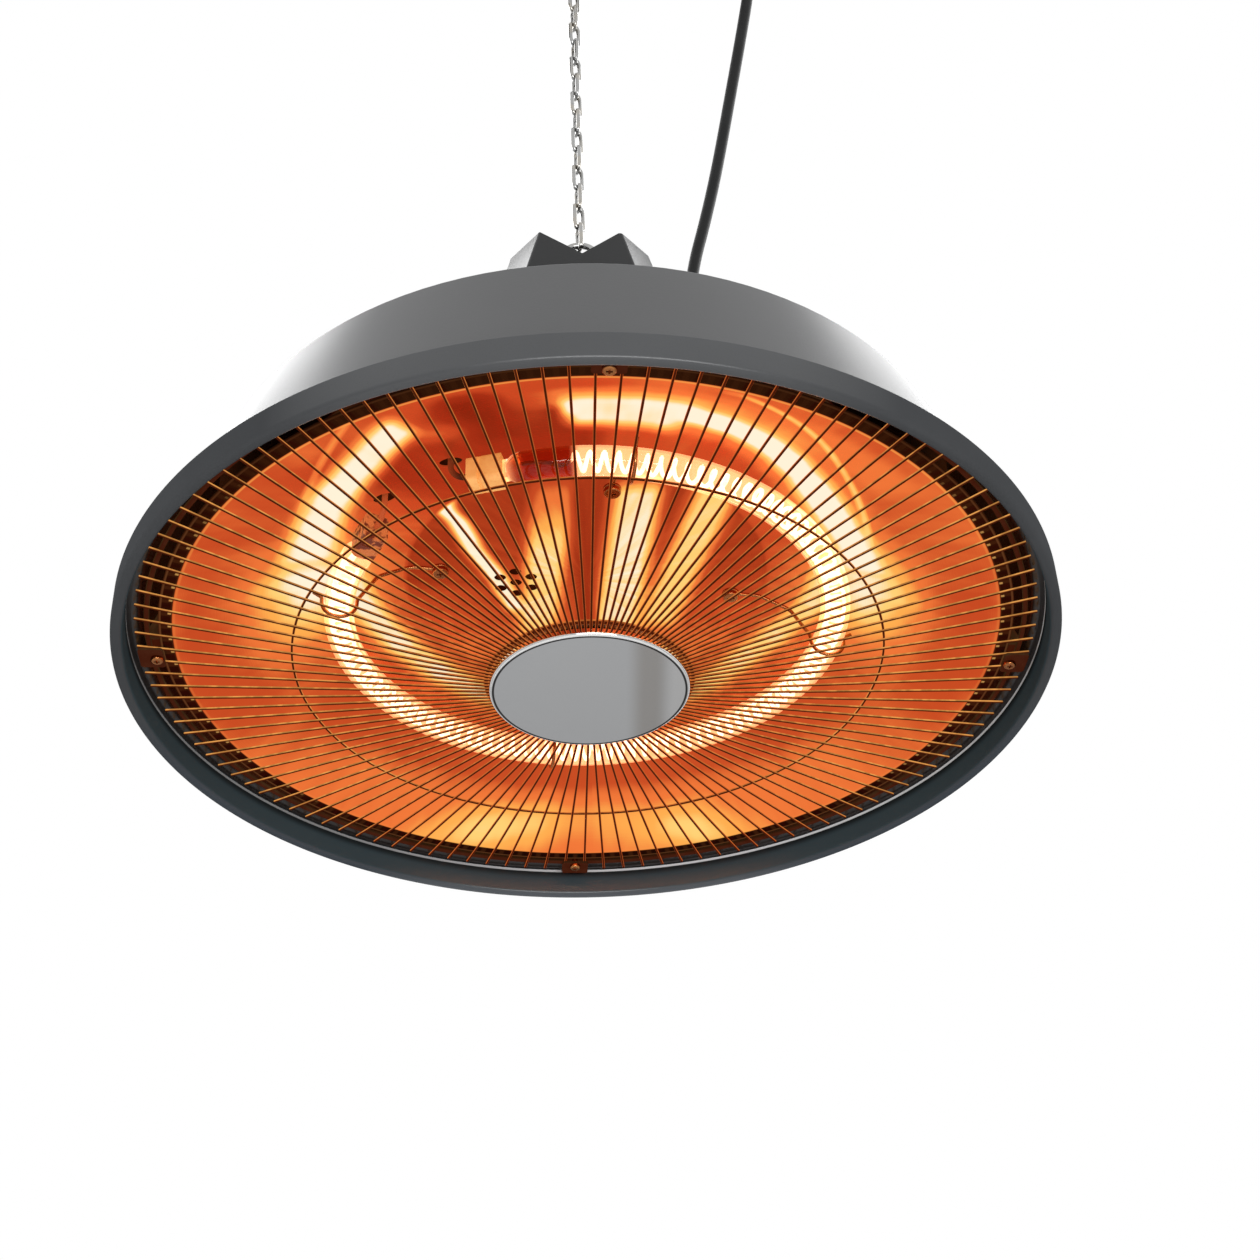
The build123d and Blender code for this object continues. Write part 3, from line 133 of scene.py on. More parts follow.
class Net:
    """A material's node tree, with short calls for the sums that the patterns are made of."""

    def __init__(self, name):
        self.material = bpy.data.materials.new(name)
        self.material.use_nodes = True
        self.tree = self.material.node_tree
        self.tree.nodes.clear()
        self.output = self.node("ShaderNodeOutputMaterial")
        self.place = self.node("ShaderNodeTexCoord").outputs["Object"]

    def node(self, kind):
        return self.tree.nodes.new(kind)

    def put(self, socket, value):
        if isinstance(value, bpy.types.NodeSocket):
            self.tree.links.new(value, socket)
        elif hasattr(value, "__len__") and len(value) == 3 and socket.type == "RGBA":
            socket.default_value = (*value, 1.0)
        else:
            socket.default_value = value

    def math(self, operation, a, b=0.0):
        n = self.node("ShaderNodeMath")
        n.operation = operation
        self.put(n.inputs[0], a)
        self.put(n.inputs[1], b)
        return n.outputs[0]

    def add(self, a, b):
        return self.math("ADD", a, b)

    def sub(self, a, b):
        return self.math("SUBTRACT", a, b)

    def mul(self, a, b):
        return self.math("MULTIPLY", a, b)

    def split(self, vector):
        n = self.node("ShaderNodeSeparateXYZ")
        self.put(n.inputs[0], vector)
        return n.outputs

    def span(self, value, low, high, to_low=0.0, to_high=1.0, smooth=True):
        """A value's place between low and high, which may run downwards, mapped to another range."""
        n = self.node("ShaderNodeMapRange")
        n.interpolation_type = "SMOOTHSTEP" if smooth else "LINEAR"
        self.put(n.inputs["Value"], value)
        self.put(n.inputs["From Min"], low)
        self.put(n.inputs["From Max"], high)
        self.put(n.inputs["To Min"], to_low)
        self.put(n.inputs["To Max"], to_high)
        return n.outputs["Result"]

    def mix(self, share, a, b):
        """Colour a, turned into colour b by the share."""
        n = self.node("ShaderNodeMix")
        n.data_type = "RGBA"
        n.clamp_factor = True
        self.put(n.inputs[0], share)
        self.put(n.inputs[6], a)
        self.put(n.inputs[7], b)
        return n.outputs[2]

    def noise(self, scale, detail=2.0, roughness=0.5, vector=None, stretch=None):
        vector = self.place if vector is None else vector
        if stretch:
            n = self.node("ShaderNodeMapping")
            n.inputs["Scale"].default_value = stretch
            self.put(n.inputs["Vector"], vector)
            vector = n.outputs[0]
        n = self.node("ShaderNodeTexNoise")
        n.inputs["Scale"].default_value = scale
        n.inputs["Detail"].default_value = detail
        n.inputs["Roughness"].default_value = roughness
        self.put(n.inputs["Vector"], vector)
        return n.outputs["Fac"]

    def cells(self, scale):
        """A random colour for each cell, as its three channels."""
        n = self.node("ShaderNodeTexVoronoi")
        n.inputs["Scale"].default_value = scale
        self.put(n.inputs["Vector"], self.place)
        return self.split(n.outputs["Color"])

    def bump(self, height, distance, strength):
        n = self.node("ShaderNodeBump")
        n.inputs["Strength"].default_value = strength
        n.inputs["Distance"].default_value = distance
        self.put(n.inputs["Height"], height)
        return n.outputs[0]

    def edge(self, radius):
        """How near a point is to a sharp edge: 1 on the edge, 0 away from it."""
        bevel = self.node("ShaderNodeBevel")
        bevel.samples = 4
        bevel.inputs["Radius"].default_value = radius
        geometry = self.node("ShaderNodeNewGeometry")
        n = self.node("ShaderNodeVectorMath")
        n.operation = "DOT_PRODUCT"
        self.put(n.inputs[0], bevel.outputs[0])
        self.put(n.inputs[1], geometry.outputs["Normal"])
        return self.span(self.sub(1.0, n.outputs["Value"]), 0.02, 0.25)

    def plan(self):
        """Plan X, Y and radius, and the angle in degrees from the near side, positive to the right."""
        x, y, _ = self.split(self.place)
        x = self.mul(x, MM_PER_METRE)
        y = self.mul(y, MM_PER_METRE)
        radius = self.math("SQRT", self.add(self.mul(x, x), self.mul(y, y)))
        angle = self.mul(self.math("ARCTAN2", x, self.mul(y, -1.0)), 180.0 / math.pi)
        return x, y, radius, angle

    def combine(self, x, y=0.0, z=0.0):
        n = self.node("ShaderNodeCombineXYZ")
        for socket, value in zip(n.inputs, (x, y, z)):
            self.put(socket, value)
        return n.outputs[0]

    def bell(self, value, centre, half, soft):
        """1 within half of the centre, falling smoothly to 0 over the soft width."""
        away = self.math("ABSOLUTE", self.sub(value, centre))
        return self.span(away, half + soft, half)

    def between(self, value, low, high, soft):
        """1 between low and high, with both ends softened."""
        return self.mul(
            self.span(value, low - soft, low + soft), self.span(value, high + soft, high - soft)
        )

    def blob(self, x, y, centre, half):
        """A glow that fades smoothly from a centre."""
        a = self.mul(self.sub(x, centre[0]), 1.0 / half[0])
        b = self.mul(self.sub(y, centre[1]), 1.0 / half[1])
        away = self.add(self.mul(a, a), self.mul(b, b))
        return self.math("EXPONENT", self.mul(away, -1.0))

    def curve(self, value, points):
        """A smooth curve through points, all from 0 to 1."""
        n = self.node("ShaderNodeFloatCurve")
        n.mapping.extend = "HORIZONTAL"
        line = n.mapping.curves[0]
        line.points[0].location = points[0]
        line.points[1].location = points[-1]
        for p in points[1:-1]:
            line.points.new(*p)
        n.mapping.update()
        self.put(n.inputs["Value"], value)
        return n.outputs[0]

    def arc(self, radius, angle, points, half, soft, share, fade):
        """A band through plan points, faded over some degrees at its two ends."""
        turn = self.add(self.mul(angle, 1.0 / 360.0), 0.5)
        polar = sorted(
            (math.degrees(math.atan2(x, -y)) / 360.0 + 0.5, math.hypot(x, y)) for x, y in points
        )
        middle = self.mul(self.curve(turn, [(a, r / ARC_REACH) for a, r in polar]), ARC_REACH)
        band = self.bell(self.sub(radius, middle), 0.0, half, soft)
        ends = self.between(turn, polar[0][0], polar[-1][0], fade / 360.0)
        return self.mul(self.mul(band, ends), share)

    def layered(self, value, layers):
        """A value drawn towards a target in each layer's mask, one layer after another."""
        for mask, target in layers:
            value = self.add(value, self.mul(mask, self.sub(target, value)))
        return value

    def ramp(self, value, stops):
        """A colour ramp with (place, colour) stops."""
        n = self.node("ShaderNodeValToRGB")
        ramp = n.color_ramp
        ramp.interpolation = "EASE"
        for element, (place, colour) in zip(ramp.elements, (stops[0], stops[-1])):
            element.position = place
            element.color = (*colour, 1.0)
        for place, colour in stops[1:-1]:
            ramp.elements.new(place).color = (*colour, 1.0)
        self.put(n.inputs[0], value)
        return n.outputs["Color"]

    def normal(self):
        return self.split(self.node("ShaderNodeTexCoord").outputs["Normal"])

    def principled(self, **values):
        n = self.node("ShaderNodeBsdfPrincipled")
        for key, value in values.items():
            self.put(n.inputs[key.replace("_", " ")], value)
        self.put(self.output.inputs["Surface"], n.outputs[0])


def scaled(colour, factor):
    return [c * factor for c in colour]


def dress(material, *nodes):
    """Gives CAD nodes a material in their own slots."""
    for name in nodes:
        obj = frame["nodes"][name]
        if not obj.material_slots:
            obj.data.materials.append(None)
        for s in obj.material_slots:
            s.link = "OBJECT"
            s.material = material


# Materials
def inside_tone(net, tone, colour, inner, painted_shade_from):
    """The rim's and shade's inward and downward faces: a cooler grey painted against the lamp's orange
    light, painted shade further up and within the rim, and a painted highlight along the rim's inner
    edge.
    """
    x, y, radius, _ = net.plan()
    facing = net.normal()
    inwards = net.add(net.mul(facing[0], x), net.mul(facing[1], y))
    inwards = net.span(net.math("DIVIDE", inwards, radius), -0.55, -0.9)
    height = net.add(net.mul(net.split(net.place)[2], MM_PER_METRE), HANG_HEIGHT)
    red, green, blue = colour
    # Inward faces: a cooler grey painted against the lamp's orange light, then painted shade higher up
    tone = net.mix(inwards, tone, (0.62 * red, 0.9 * green, 0.99 * blue))
    tone = net.mix(net.mul(inwards, net.span(height, painted_shade_from, painted_shade_from + 4.0)), tone, inner)

    # Faces that look down: bluer on the far side against the lamp's light, and painted shade within
    # the rim
    down = net.span(facing[2], -0.3, -0.7)
    tone = net.mix(net.mul(down, net.span(y, 0.0, 90.0)), tone, (0.9 * red, green, 1.1 * blue))
    below = net.mul(down, net.span(radius, RIM_INSIDE, RIM_INSIDE - 0.3))
    tone = net.mix(below, tone, inner)

    # A painted highlight: the thin bright line along the rim's inner edge, brighter to the right
    low = net.span(height, RIM_INNER_HEIGHT - 1.6, RIM_INNER_HEIGHT - 1.1)
    high = net.span(height, RIM_INNER_HEIGHT + 0.3, RIM_INNER_HEIGHT + 0.1)
    painted_edge_highlight = net.mul(low, high)
    painted_edge_highlight = net.mul(net.mul(painted_edge_highlight, inwards), net.span(x, -160.0, 60.0, 0.35, 0.95))
    return net.mix(painted_edge_highlight, tone, (0.8, 0.82, 0.83))


def powder_coat(name, colour, roughness, specular=0.5, inner=None, painted_shade_from=0.0, dull_edges=False):
    """Satin powder coat: fine orange peel, faint mottling, and slightly polished edges, with painted
    shade and a painted highlight on inward and downward faces when an inner tone is given.
    """
    net = Net(name)
    peel = net.noise(900, 2.0, 0.55)
    grain = net.noise(4200, 1.0)
    cloud = net.noise(14, 3.0)
    tone = net.mix(net.span(cloud, 0.3, 0.7), scaled(colour, 0.94), scaled(colour, 1.06))
    worn = net.mul(net.edge(0.0012), net.span(net.noise(160, 3.0), 0.45, 0.75))
    tone = net.mix(net.mul(worn, 0.35), tone, scaled(colour, 1.9))
    if inner:
        tone = inside_tone(net, tone, colour, inner, painted_shade_from)
    if dull_edges:
        # No shine at the left and right sides, nor where a face turns away
        aside = net.span(net.math("ABSOLUTE", net.split(net.place)[0]), 0.07, 0.125)
        grazing = net.span(net.node("ShaderNodeLayerWeight").outputs["Facing"], 0.6, 0.85)
        dull = net.math("MAXIMUM", aside, grazing)
        specular = net.span(dull, 0.0, 1.0, specular, 0.0, smooth=False)
    rough = net.add(roughness, net.mul(net.sub(grain, 0.5), 0.12))
    relief = net.add(peel, net.mul(grain, 0.35))
    net.principled(
        Base_Color=tone,
        Roughness=rough,
        IOR=1.5,
        Specular_IOR_Level=specular,
        Normal=net.bump(relief, 0.00006, 0.5),
    )
    return net.material


def bright_steel(name, colour, tint, roughness=0.22, tint_share=0.5):
    """Zinc-plated steel: fine draw lines, patches of warmer tint and duller spots."""
    net = Net(name)
    patch = net.span(net.noise(95, 3.0), 0.45, 0.68)
    grime = net.span(net.noise(420, 4.0, 0.6), 0.5, 0.75)
    lines = net.noise(700, 2.0, 0.5, stretch=(1.0, 1.0, 0.12))
    tone = net.mix(net.mul(patch, tint_share), colour, tint)
    tone = net.mix(net.mul(grime, 0.35), tone, scaled(colour, 0.5))
    rough = net.add(net.add(roughness, net.mul(grime, 0.16)), net.mul(net.sub(lines, 0.5), 0.2))
    net.principled(
        Base_Color=tone,
        Metallic=1.0,
        Roughness=rough,
        Normal=net.bump(lines, 0.00003, 0.5),
    )
    return net.material


def dark_plastic(name, colour, roughness, fine=2600):
    """Matt black rubber or nylon with a fine grain and dusty, paler edges."""
    net = Net(name)
    grain = net.noise(fine, 2.0, 0.6)
    cloud = net.noise(60, 3.0)
    worn = net.mul(net.edge(0.0008), 0.5)
    tone = net.mix(net.span(cloud, 0.35, 0.7), scaled(colour, 0.8), scaled(colour, 1.25))
    tone = net.mix(worn, tone, [c * 2.4 + 0.01 for c in colour])
    net.principled(
        Base_Color=tone,
        Roughness=net.add(roughness, net.mul(net.sub(grain, 0.5), 0.2)),
        Specular_IOR_Level=0.25,
        Normal=net.bump(grain, 0.00004, 0.6),
    )
    return net.material


def galvanised(name, colour):
    """Plain zinc sheet with spangle."""
    net = Net(name)
    spangle = net.cells(90)
    fine = net.noise(1200, 2.0)
    tone = net.mix(spangle[0], scaled(colour, 0.82), scaled(colour, 1.15))
    rough = net.add(net.span(spangle[1], 0.0, 1.0, 0.26, 0.42), net.mul(net.sub(fine, 0.5), 0.1))
    net.principled(
        Base_Color=tone, Metallic=1.0, Roughness=rough, Normal=net.bump(fine, 0.00002, 0.4)
    )
    return net.material


def warm_ceramic(name):
    """Cream ceramic beside the lamp, browned and patchy at the lamp's far end, with the lamp's light
    painted in as a glow: yellow on the cream and patchy red at the far end.
    """
    net = Net(name)
    speckle = net.span(net.noise(900, 2.0), 0.58, 0.72)
    cloud = net.noise(120, 3.0)
    tone = net.mix(net.span(cloud, 0.3, 0.7), (0.6, 0.3, 0.09), (0.74, 0.42, 0.15))
    tone = net.mix(net.mul(speckle, 0.4), tone, (0.3, 0.14, 0.06))
    x, _, _, _ = net.plan()
    browned = net.span(x, *FAR_END_X)
    patches = net.span(net.noise(240, 2.0), 0.42, 0.56)
    far_end_patches = net.mix(patches, (0.06, 0.012, 0.004), (0.4, 0.11, 0.03))
    # Painted glow: the lamp's light as emission, yellow on the cream and patchy red at the far end
    glow = net.mix(cloud, (0.85, 0.3, 0.05), (1.0, 0.46, 0.1))
    painted_red_glow = net.mix(patches, (0.25, 0.03, 0.008), (0.75, 0.2, 0.05))
    net.principled(
        Base_Color=net.mix(browned, tone, far_end_patches),
        Roughness=net.add(0.5, net.mul(cloud, 0.15)),
        Emission_Color=net.mix(browned, glow, painted_red_glow),
        Emission_Strength=0.4,
        Normal=net.bump(net.noise(1500, 3.0), 0.00005, 0.5),
    )
    return net.material


def lead_sleeve(name):
    """Woven sleeve on the lamp's leads: dark at the near lead, and with the lamp's red light painted
    in as a glow at the other one.
    """
    net = Net(name)
    x, _, _, _ = net.plan()
    lit = net.span(x, *FAR_END_X)
    weave = net.noise(1400, 2.0)
    net.principled(
        Base_Color=net.mix(lit, (0.014, 0.006, 0.003), (0.3, 0.06, 0.02)),
        Roughness=0.6,
        Specular_IOR_Level=0.1,
        Emission_Color=net.mix(lit, (0.01, 0.002, 0.001), (0.5, 0.08, 0.02)),
        Emission_Strength=0.5,
        Normal=net.bump(weave, 0.00005, 0.6),
    )
    return net.material


def glowing_wire(name):
    """The lamp's filament: glowing curls, and dark foil in the lamp's unlit section."""
    net = Net(name)
    _, _, _, angle = net.plan()
    foil = net.between(angle, DARK_START, DARK_END_WIRE, 0.3)
    flicker = net.noise(260, 2.0)
    tone = net.mix(net.span(flicker, 0.3, 0.7), (1.0, 0.55, 0.32), (1.0, 0.76, 0.56))
    net.principled(
        Base_Color=(0.2, 0.07, 0.03),
        Roughness=0.6,
        Emission_Color=net.mix(foil, tone, (0.02, 0.003, 0.001)),
        Emission_Strength=2.6,
    )
    return net.material


def quartz_glass(name):
    """Clear fused quartz that carries the filament's glow."""
    net = Net(name)
    _, _, _, angle = net.plan()
    unlit = net.between(angle, DARK_START, DARK_END_GLASS, 1.2)
    haze = net.noise(300, 3.0)
    glow = net.mix(haze, (1.0, 0.4, 0.16), (1.0, 0.5, 0.24))
    net.principled(
        Base_Color=net.mix(unlit, (1.0, 0.93, 0.84), (0.75, 0.3, 0.15)),
        Transmission_Weight=1.0,
        Roughness=net.span(haze, 0.3, 0.8, 0.01, 0.06),
        IOR=1.3,
        Emission_Color=net.mix(unlit, glow, (0.05, 0.005, 0.001)),
        Emission_Strength=0.34,
        Normal=net.bump(net.noise(180, 2.0), 0.00003, 0.3),
    )
    return net.material


# The lamp's painted reflections in the reflector, as plan points
CONE_RIGHT = [
    (-8, -156), (28, -155), (48, -148), (68, -135), (85, -115),
    (98, -92), (110, -68), (120, -48), (128, -28), (137, -8),
]
CONE_RIGHT_OUTER = [
    (62, -175), (82, -158), (97, -138), (108, -115), (117, -92), (123, -72), (128, -48),
]
CONE_LEFT = [
    (-72, -154), (-77, -148), (-85, -135), (-95, -118), (-105, -102),
    (-113, -85), (-120, -65), (-126, -46), (-132, -26),
]
CONE_LEFT_OUTER = [(-90, -172), (-98, -155), (-108, -132), (-118, -105), (-125, -82)]
BESIDE_LEFT = [(-112, -34), (-110, -18), (-105, 8), (-95, 35), (-78, 62), (-52, 87), (-30, 97)]
BESIDE_RIGHT = [(113, -34), (112, -18), (108, 8), (95, 35), (78, 60), (54, 86), (30, 97)]
# The painted crescent of light on the plate, in shares of Y from -80 to 40 mm and of X from -100 to 0
# mm
CRESCENT = [
    (0.1, 0.38), (0.18, 0.36), (0.29, 0.42), (0.46, 0.48), (0.63, 0.57), (0.79, 0.63), (0.9, 0.68),
]
# The reflector's painted light, from dark red to white
PAINTED_LIGHT_STOPS = [
    (0.0, (0.09, 0.010, 0.002)),
    (0.25, (0.30, 0.028, 0.007)),
    (0.45, (0.55, 0.070, 0.017)),
    (0.62, (0.86, 0.19, 0.042)),
    (0.77, (1.0, 0.44, 0.085)),
    (0.88, (1.0, 0.67, 0.19)),
    (1.0, (1.0, 0.94, 0.72)),
]


def cone_painted_light(net, x, y, radius, angle, side):
    """The painted light on the cone, from 0 for dark red to 1 for white."""
    # Painted light: redder beside the lamp and yellower towards the far rim, with a band of painted
    # shade
    far = net.span(side, 105.0, 140.0)
    flank = net.bell(side, 92.0, 12.0, 16.0)
    shade_band = net.mul(net.bell(angle, -15.5, 1.5, 5.0), net.between(radius, 128.0, 182.0, 9.0))
    ground = [
        (net.mul(far, net.bell(radius, 136.0, 7.0, 9.0)), 0.42),
        (net.mul(far, net.span(radius, 146.0, 166.0)), 0.6),
        (net.blob(x, y, (-52.0, 168.0), (50.0, 15.0)), 0.87),
        (net.blob(x, y, (52.0, 172.0), (36.0, 14.0)), 0.85),
        (net.mul(flank, net.bell(radius, 172.0, 8.0, 12.0)), 0.45),
        (net.mul(net.bell(angle, -27.0, 14.0, 9.0), net.span(radius, 182.0, 150.0)), 0.3),
        (net.mul(net.bell(angle, -12.0, 12.0, 8.0), net.span(radius, 200.0, 150.0)), 0.27),
        (net.mul(shade_band, 0.8), 0.12),
        (net.blob(x, y, (-62.0, -140.0), (13.0, 9.0)), 0.5),
        (net.blob(x, y, (-20.0, -150.0), (9.0, 18.0)), 0.33),
        (net.mul(net.bell(angle, 22.0, 24.0, 10.0), net.bell(radius, 168.0, 4.0, 12.0)), 0.62),
    ]

    # The lamp's painted reflection, on both sides
    near_bloom = net.between(angle, -2.5, 16.0, 2.5)
    image = [
        (net.arc(radius, angle, CONE_RIGHT, 4.0, 22.0, 0.75, 2.0), 0.8),
        (net.arc(radius, angle, CONE_RIGHT[:-1], 2.0, 12.0, 1.0, 1.5), 1.08),
        (net.mul(near_bloom, net.bell(radius, 151.0, 6.0, 20.0)), 0.99),
        (net.arc(radius, angle, CONE_RIGHT_OUTER, 0.3, 2.6, 0.65, 4.0), 0.95),
        (net.arc(radius, angle, CONE_LEFT, 3.0, 17.0, 0.7, 4.0), 0.8),
        (net.arc(radius, angle, CONE_LEFT[:-1], 4.0, 13.0, 1.0, 2.0), 1.0),
        (net.arc(radius, angle, CONE_LEFT_OUTER, 0.3, 3.0, 0.45, 4.0), 0.9),
        (net.blob(x, y, (-127.0, -22.0), (26.0, 36.0)), 1.0),
        (net.blob(x, y, (130.0, -8.0), (24.0, 34.0)), 0.96),
    ]
    return net.layered(net.span(radius, 120.0, 188.0, 0.47, 0.52), ground + image)


def plate_painted_light(net, x, y):
    """The painted light on the flat plate, with the lamp's far side painted in as a reflection."""
    lean = net.mul(net.add(y, 65.0), 0.1)
    lengthways = net.between(y, -72.0, 62.0, 10.0)
    left_wedge = net.bell(net.add(x, net.add(lean, 14.5)), 0.0, 4.5, 10.0)
    left_wedge = net.mul(net.mul(left_wedge, lengthways), net.span(y, -66.0, -20.0, 0.45, 1.0))
    right_wedge = net.bell(net.sub(x, net.sub(24.0, lean)), 0.0, 5.5, 11.0)
    spine = net.curve(net.span(y, -80.0, 40.0, smooth=False), CRESCENT)
    crescent = net.bell(net.sub(x, net.sub(net.mul(spine, 100.0), 100.0)), 0.0, 2.0, 6.5)
    streak = net.bell(net.add(x, net.mul(y, 0.25)), 43.0, 4.0, 12.0)
    layers = [
        (net.blob(x, y, (-86.0, -18.0), (26.0, 40.0)), 0.3),
        (net.blob(x, y, (88.0, -18.0), (24.0, 48.0)), 0.34),
        (left_wedge, 0.92),
        (net.mul(right_wedge, lengthways), 0.94),
        (net.mul(net.bell(x, -1.0, 1.5, 6.0), lengthways), 0.3),
        (net.mul(crescent, net.between(y, -68.0, 26.0, 8.0)), 1.0),
        (net.mul(streak, net.between(y, -74.0, 42.0, 10.0)), 0.87),
        (net.mul(net.span(y, 28.0, 60.0), 0.8), 0.56),
    ]
    return net.layered(net.span(y, -60.0, 60.0, 0.31, 0.5), layers)


def flange_painted_light(net, radius, angle, side):
    """The turned-out edge, out of the lamp's direct light: cells of painted shade with painted glints
    between them at the sides, a painted bright ring at its outer edge, and painted shade towards the
    near side.
    """
    cell = net.math("FRACT", net.mul(net.add(angle, 360.0), 1.0 / 3.0))
    painted_shade_cell = net.mul(net.bell(cell, 0.5, 0.34, 0.08), net.bell(radius, 192.4, 2.0, 0.5))
    brown = net.mix(painted_shade_cell, (0.028, 0.009, 0.003), (0.006, 0.002, 0.001))
    painted_glints = net.mul(net.bell(cell, 0.0, 0.1, 0.08), net.bell(radius, 190.6, 0.5, 0.5))
    painted_glints = net.mul(painted_glints, net.between(side, 55.0, 125.0, 12.0))
    brown = net.mix(net.mul(painted_glints, 0.8), brown, (0.6, 0.32, 0.09))
    # A painted highlight ring at the outer edge, then painted shade towards the near side
    brown = net.mix(net.bell(radius, 194.8, 0.2, 0.4), brown, (0.09, 0.035, 0.012))
    return net.mix(net.span(side, 75.0, 35.0, 0.0, 0.7), brown, (0.006, 0.002, 0.001))


def lit_reflector(name):
    """Brushed aluminium with the lamp's light and reflections painted in as emission, spread and
    folded by the brushing.
    """
    net = Net(name)
    x, y, radius, angle = net.plan()
    side = net.math("ABSOLUTE", angle)
    on_plate = net.span(radius, PLATE_R + 1.5, PLATE_R - 1.5)
    # The painted light level: 0 for dark red, 1 for white
    heat = cone_painted_light(net, x, y, radius, angle, side)
    layers = [
        (on_plate, plate_painted_light(net, x, y)),
        (net.arc(radius, angle, BESIDE_LEFT, 2.0, 9.0, 0.95, 5.0), 0.95),
        (net.arc(radius, angle, BESIDE_RIGHT, 2.0, 8.0, 0.9, 5.0), 0.92),
    ]
    heat = net.layered(heat, layers)

    # Brushing: fine rings, and broad streaks that fan out from the middle, varying the painted light
    rings = net.noise(1.0, 2.0, 0.5, vector=net.combine(net.mul(radius, 2.6)))
    fan = net.noise(1.0, 3.0, 0.6, vector=net.combine(net.mul(angle, 0.11), net.mul(radius, 0.012)))
    cloud = net.noise(11.0, 2.0)
    for pattern, strength in ((rings, 0.07), (fan, 0.2), (cloud, 0.14)):
        heat = net.add(heat, net.mul(net.sub(pattern, 0.5), strength))

    on_flange = net.span(radius, CONE_EDGE_R + 0.6, CONE_EDGE_R + 1.2)
    light = net.mix(on_flange, net.ramp(heat, PAINTED_LIGHT_STOPS), flange_painted_light(net, radius, angle, side))
    # A painted highlight line along the cone's edge
    line = net.bell(radius, CONE_EDGE_R + 0.2, 0.2, 0.6)
    line = net.mul(line, net.span(side, 80.0, 40.0, 0.15, 0.6))
    # The mirror's base and its reflections are tinted orange-red by painted lamp light
    net.principled(
        Base_Color=net.mix(on_flange, (0.09, 0.014, 0.003), (0.03, 0.01, 0.004)),
        Metallic=1.0,
        Roughness=net.span(rings, 0.3, 0.7, 0.26, 0.38),
        Specular_Tint=(0.6, 0.16, 0.05),
        Emission_Color=net.mix(line, light, (1.0, 0.4, 0.08)),
        Emission_Strength=0.95,
    )
    return net.material


def chrome_disc(name):
    """Mirror chrome, with painted reflections, a soft brown streak and a paler band, and a painted
    highlight on its rolled edge with a dark line inside it.
    """
    net = Net(name)
    x, _, radius, _ = net.plan()
    haze = net.noise(30, 3.0)
    scratch = net.noise(1600, 2.0, 0.5, stretch=(1.0, 0.03, 1.0))
    tone = net.mix(haze, (0.53, 0.53, 0.535), (0.55, 0.55, 0.55))
    # Painted reflections: a soft brown streak, and paler beyond it
    tone = net.mix(net.mul(net.bell(x, 27.5, 2.0, 9.5), 0.5), tone, (0.27, 0.23, 0.19))
    tone = net.mix(net.mul(net.span(x, 32.0, 40.0), 0.3), tone, (0.72, 0.69, 0.66))
    # A painted highlight on the rolled edge, with a painted dark line inside it
    tone = net.mix(net.span(radius, 44.8, 45.2), tone, (0.9, 0.89, 0.87))
    tone = net.mix(net.bell(radius, 44.3, 0.3, 0.4), tone, (0.03, 0.028, 0.027))
    net.principled(
        Base_Color=tone,
        Metallic=1.0,
        Roughness=net.span(scratch, 0.35, 0.8, 0.03, 0.07),
    )
    return net.material


def guard_wire(name, dark, lit, sides, inner):
    """Bright wire: dark below, with the lamp's light from above painted in as a glow, most golden at
    the left and right.
    """
    net = Net(name)
    x, y, radius, _ = net.plan()
    facing = net.normal()
    sideways = net.span(net.math("DIVIDE", net.math("ABSOLUTE", x), radius), 0.4, 0.85)
    above = net.span(net.add(facing[2], net.mul(sideways, 0.28)), -0.52, -0.05)
    beside = net.span(net.math("ABSOLUTE", facing[0]), 0.55, 0.95)
    left = net.mul(net.span(x, 10.0, -60.0), net.span(y, 0.0, -60.0))
    patch = net.span(net.noise(160, 3.0), 0.35, 0.7)
    uneven = net.span(patch, 0.0, 1.0, 0.55, 1.0)
    flank = net.mix(left, sides, [0.5 * (a + b) for a, b in zip(lit, sides)])
    # Painted lamp light: orange at the wires' sides, gold where they face up towards the lamp
    glow = net.mix(beside, (0.05, 0.007, 0.002), flank)
    outer = net.mul(net.span(radius, 60.0, 160.0), sideways)
    gold = net.mix(outer, inner, lit)
    glow = net.mix(net.mul(above, uneven), glow, gold)
    net.principled(
        Base_Color=net.mix(patch, dark, scaled(dark, 1.8)),
        Roughness=net.span(net.noise(900, 2.0), 0.3, 0.7, 0.2, 0.34),
        IOR=1.03,
        Emission_Color=glow,
        Emission_Strength=0.85,
    )
    return net.material


GREY = (0.064, 0.066, 0.069)
DIM = (0.018, 0.007, 0.002)
# The inner tones are painted shade on the faces inside the rim and the shade
rim_paint = powder_coat(
    "grey powder coat, rim", GREY, 0.3, inner=(0.014, 0.017, 0.018), painted_shade_from=9.0, dull_edges=True
)
# The shade's grey is darker than the rim's as painted shade, because its drum leans up into more light
shade_paint = powder_coat("grey powder coat", scaled(GREY, 0.62), 0.36, inner=(0.010, 0.005, 0.003))
crown_paint = powder_coat("dark powder coat", (0.02, 0.0205, 0.021), 0.32, 0.2)
steel = bright_steel("bright zinc steel", (0.4, 0.4, 0.395), (0.5, 0.43, 0.32), 0.16, 0.35)
# Steel with the lamp's orange light painted into its colour
lamp_lit_steel = bright_steel("steel in the lamp's light", (0.34, 0.12, 0.04), (0.6, 0.27, 0.09))
brass = bright_steel("nickel plated brass", (0.72, 0.7, 0.66), (0.78, 0.66, 0.4), 0.16)
sheet = galvanised("galvanised sheet", (0.6, 0.6, 0.6))
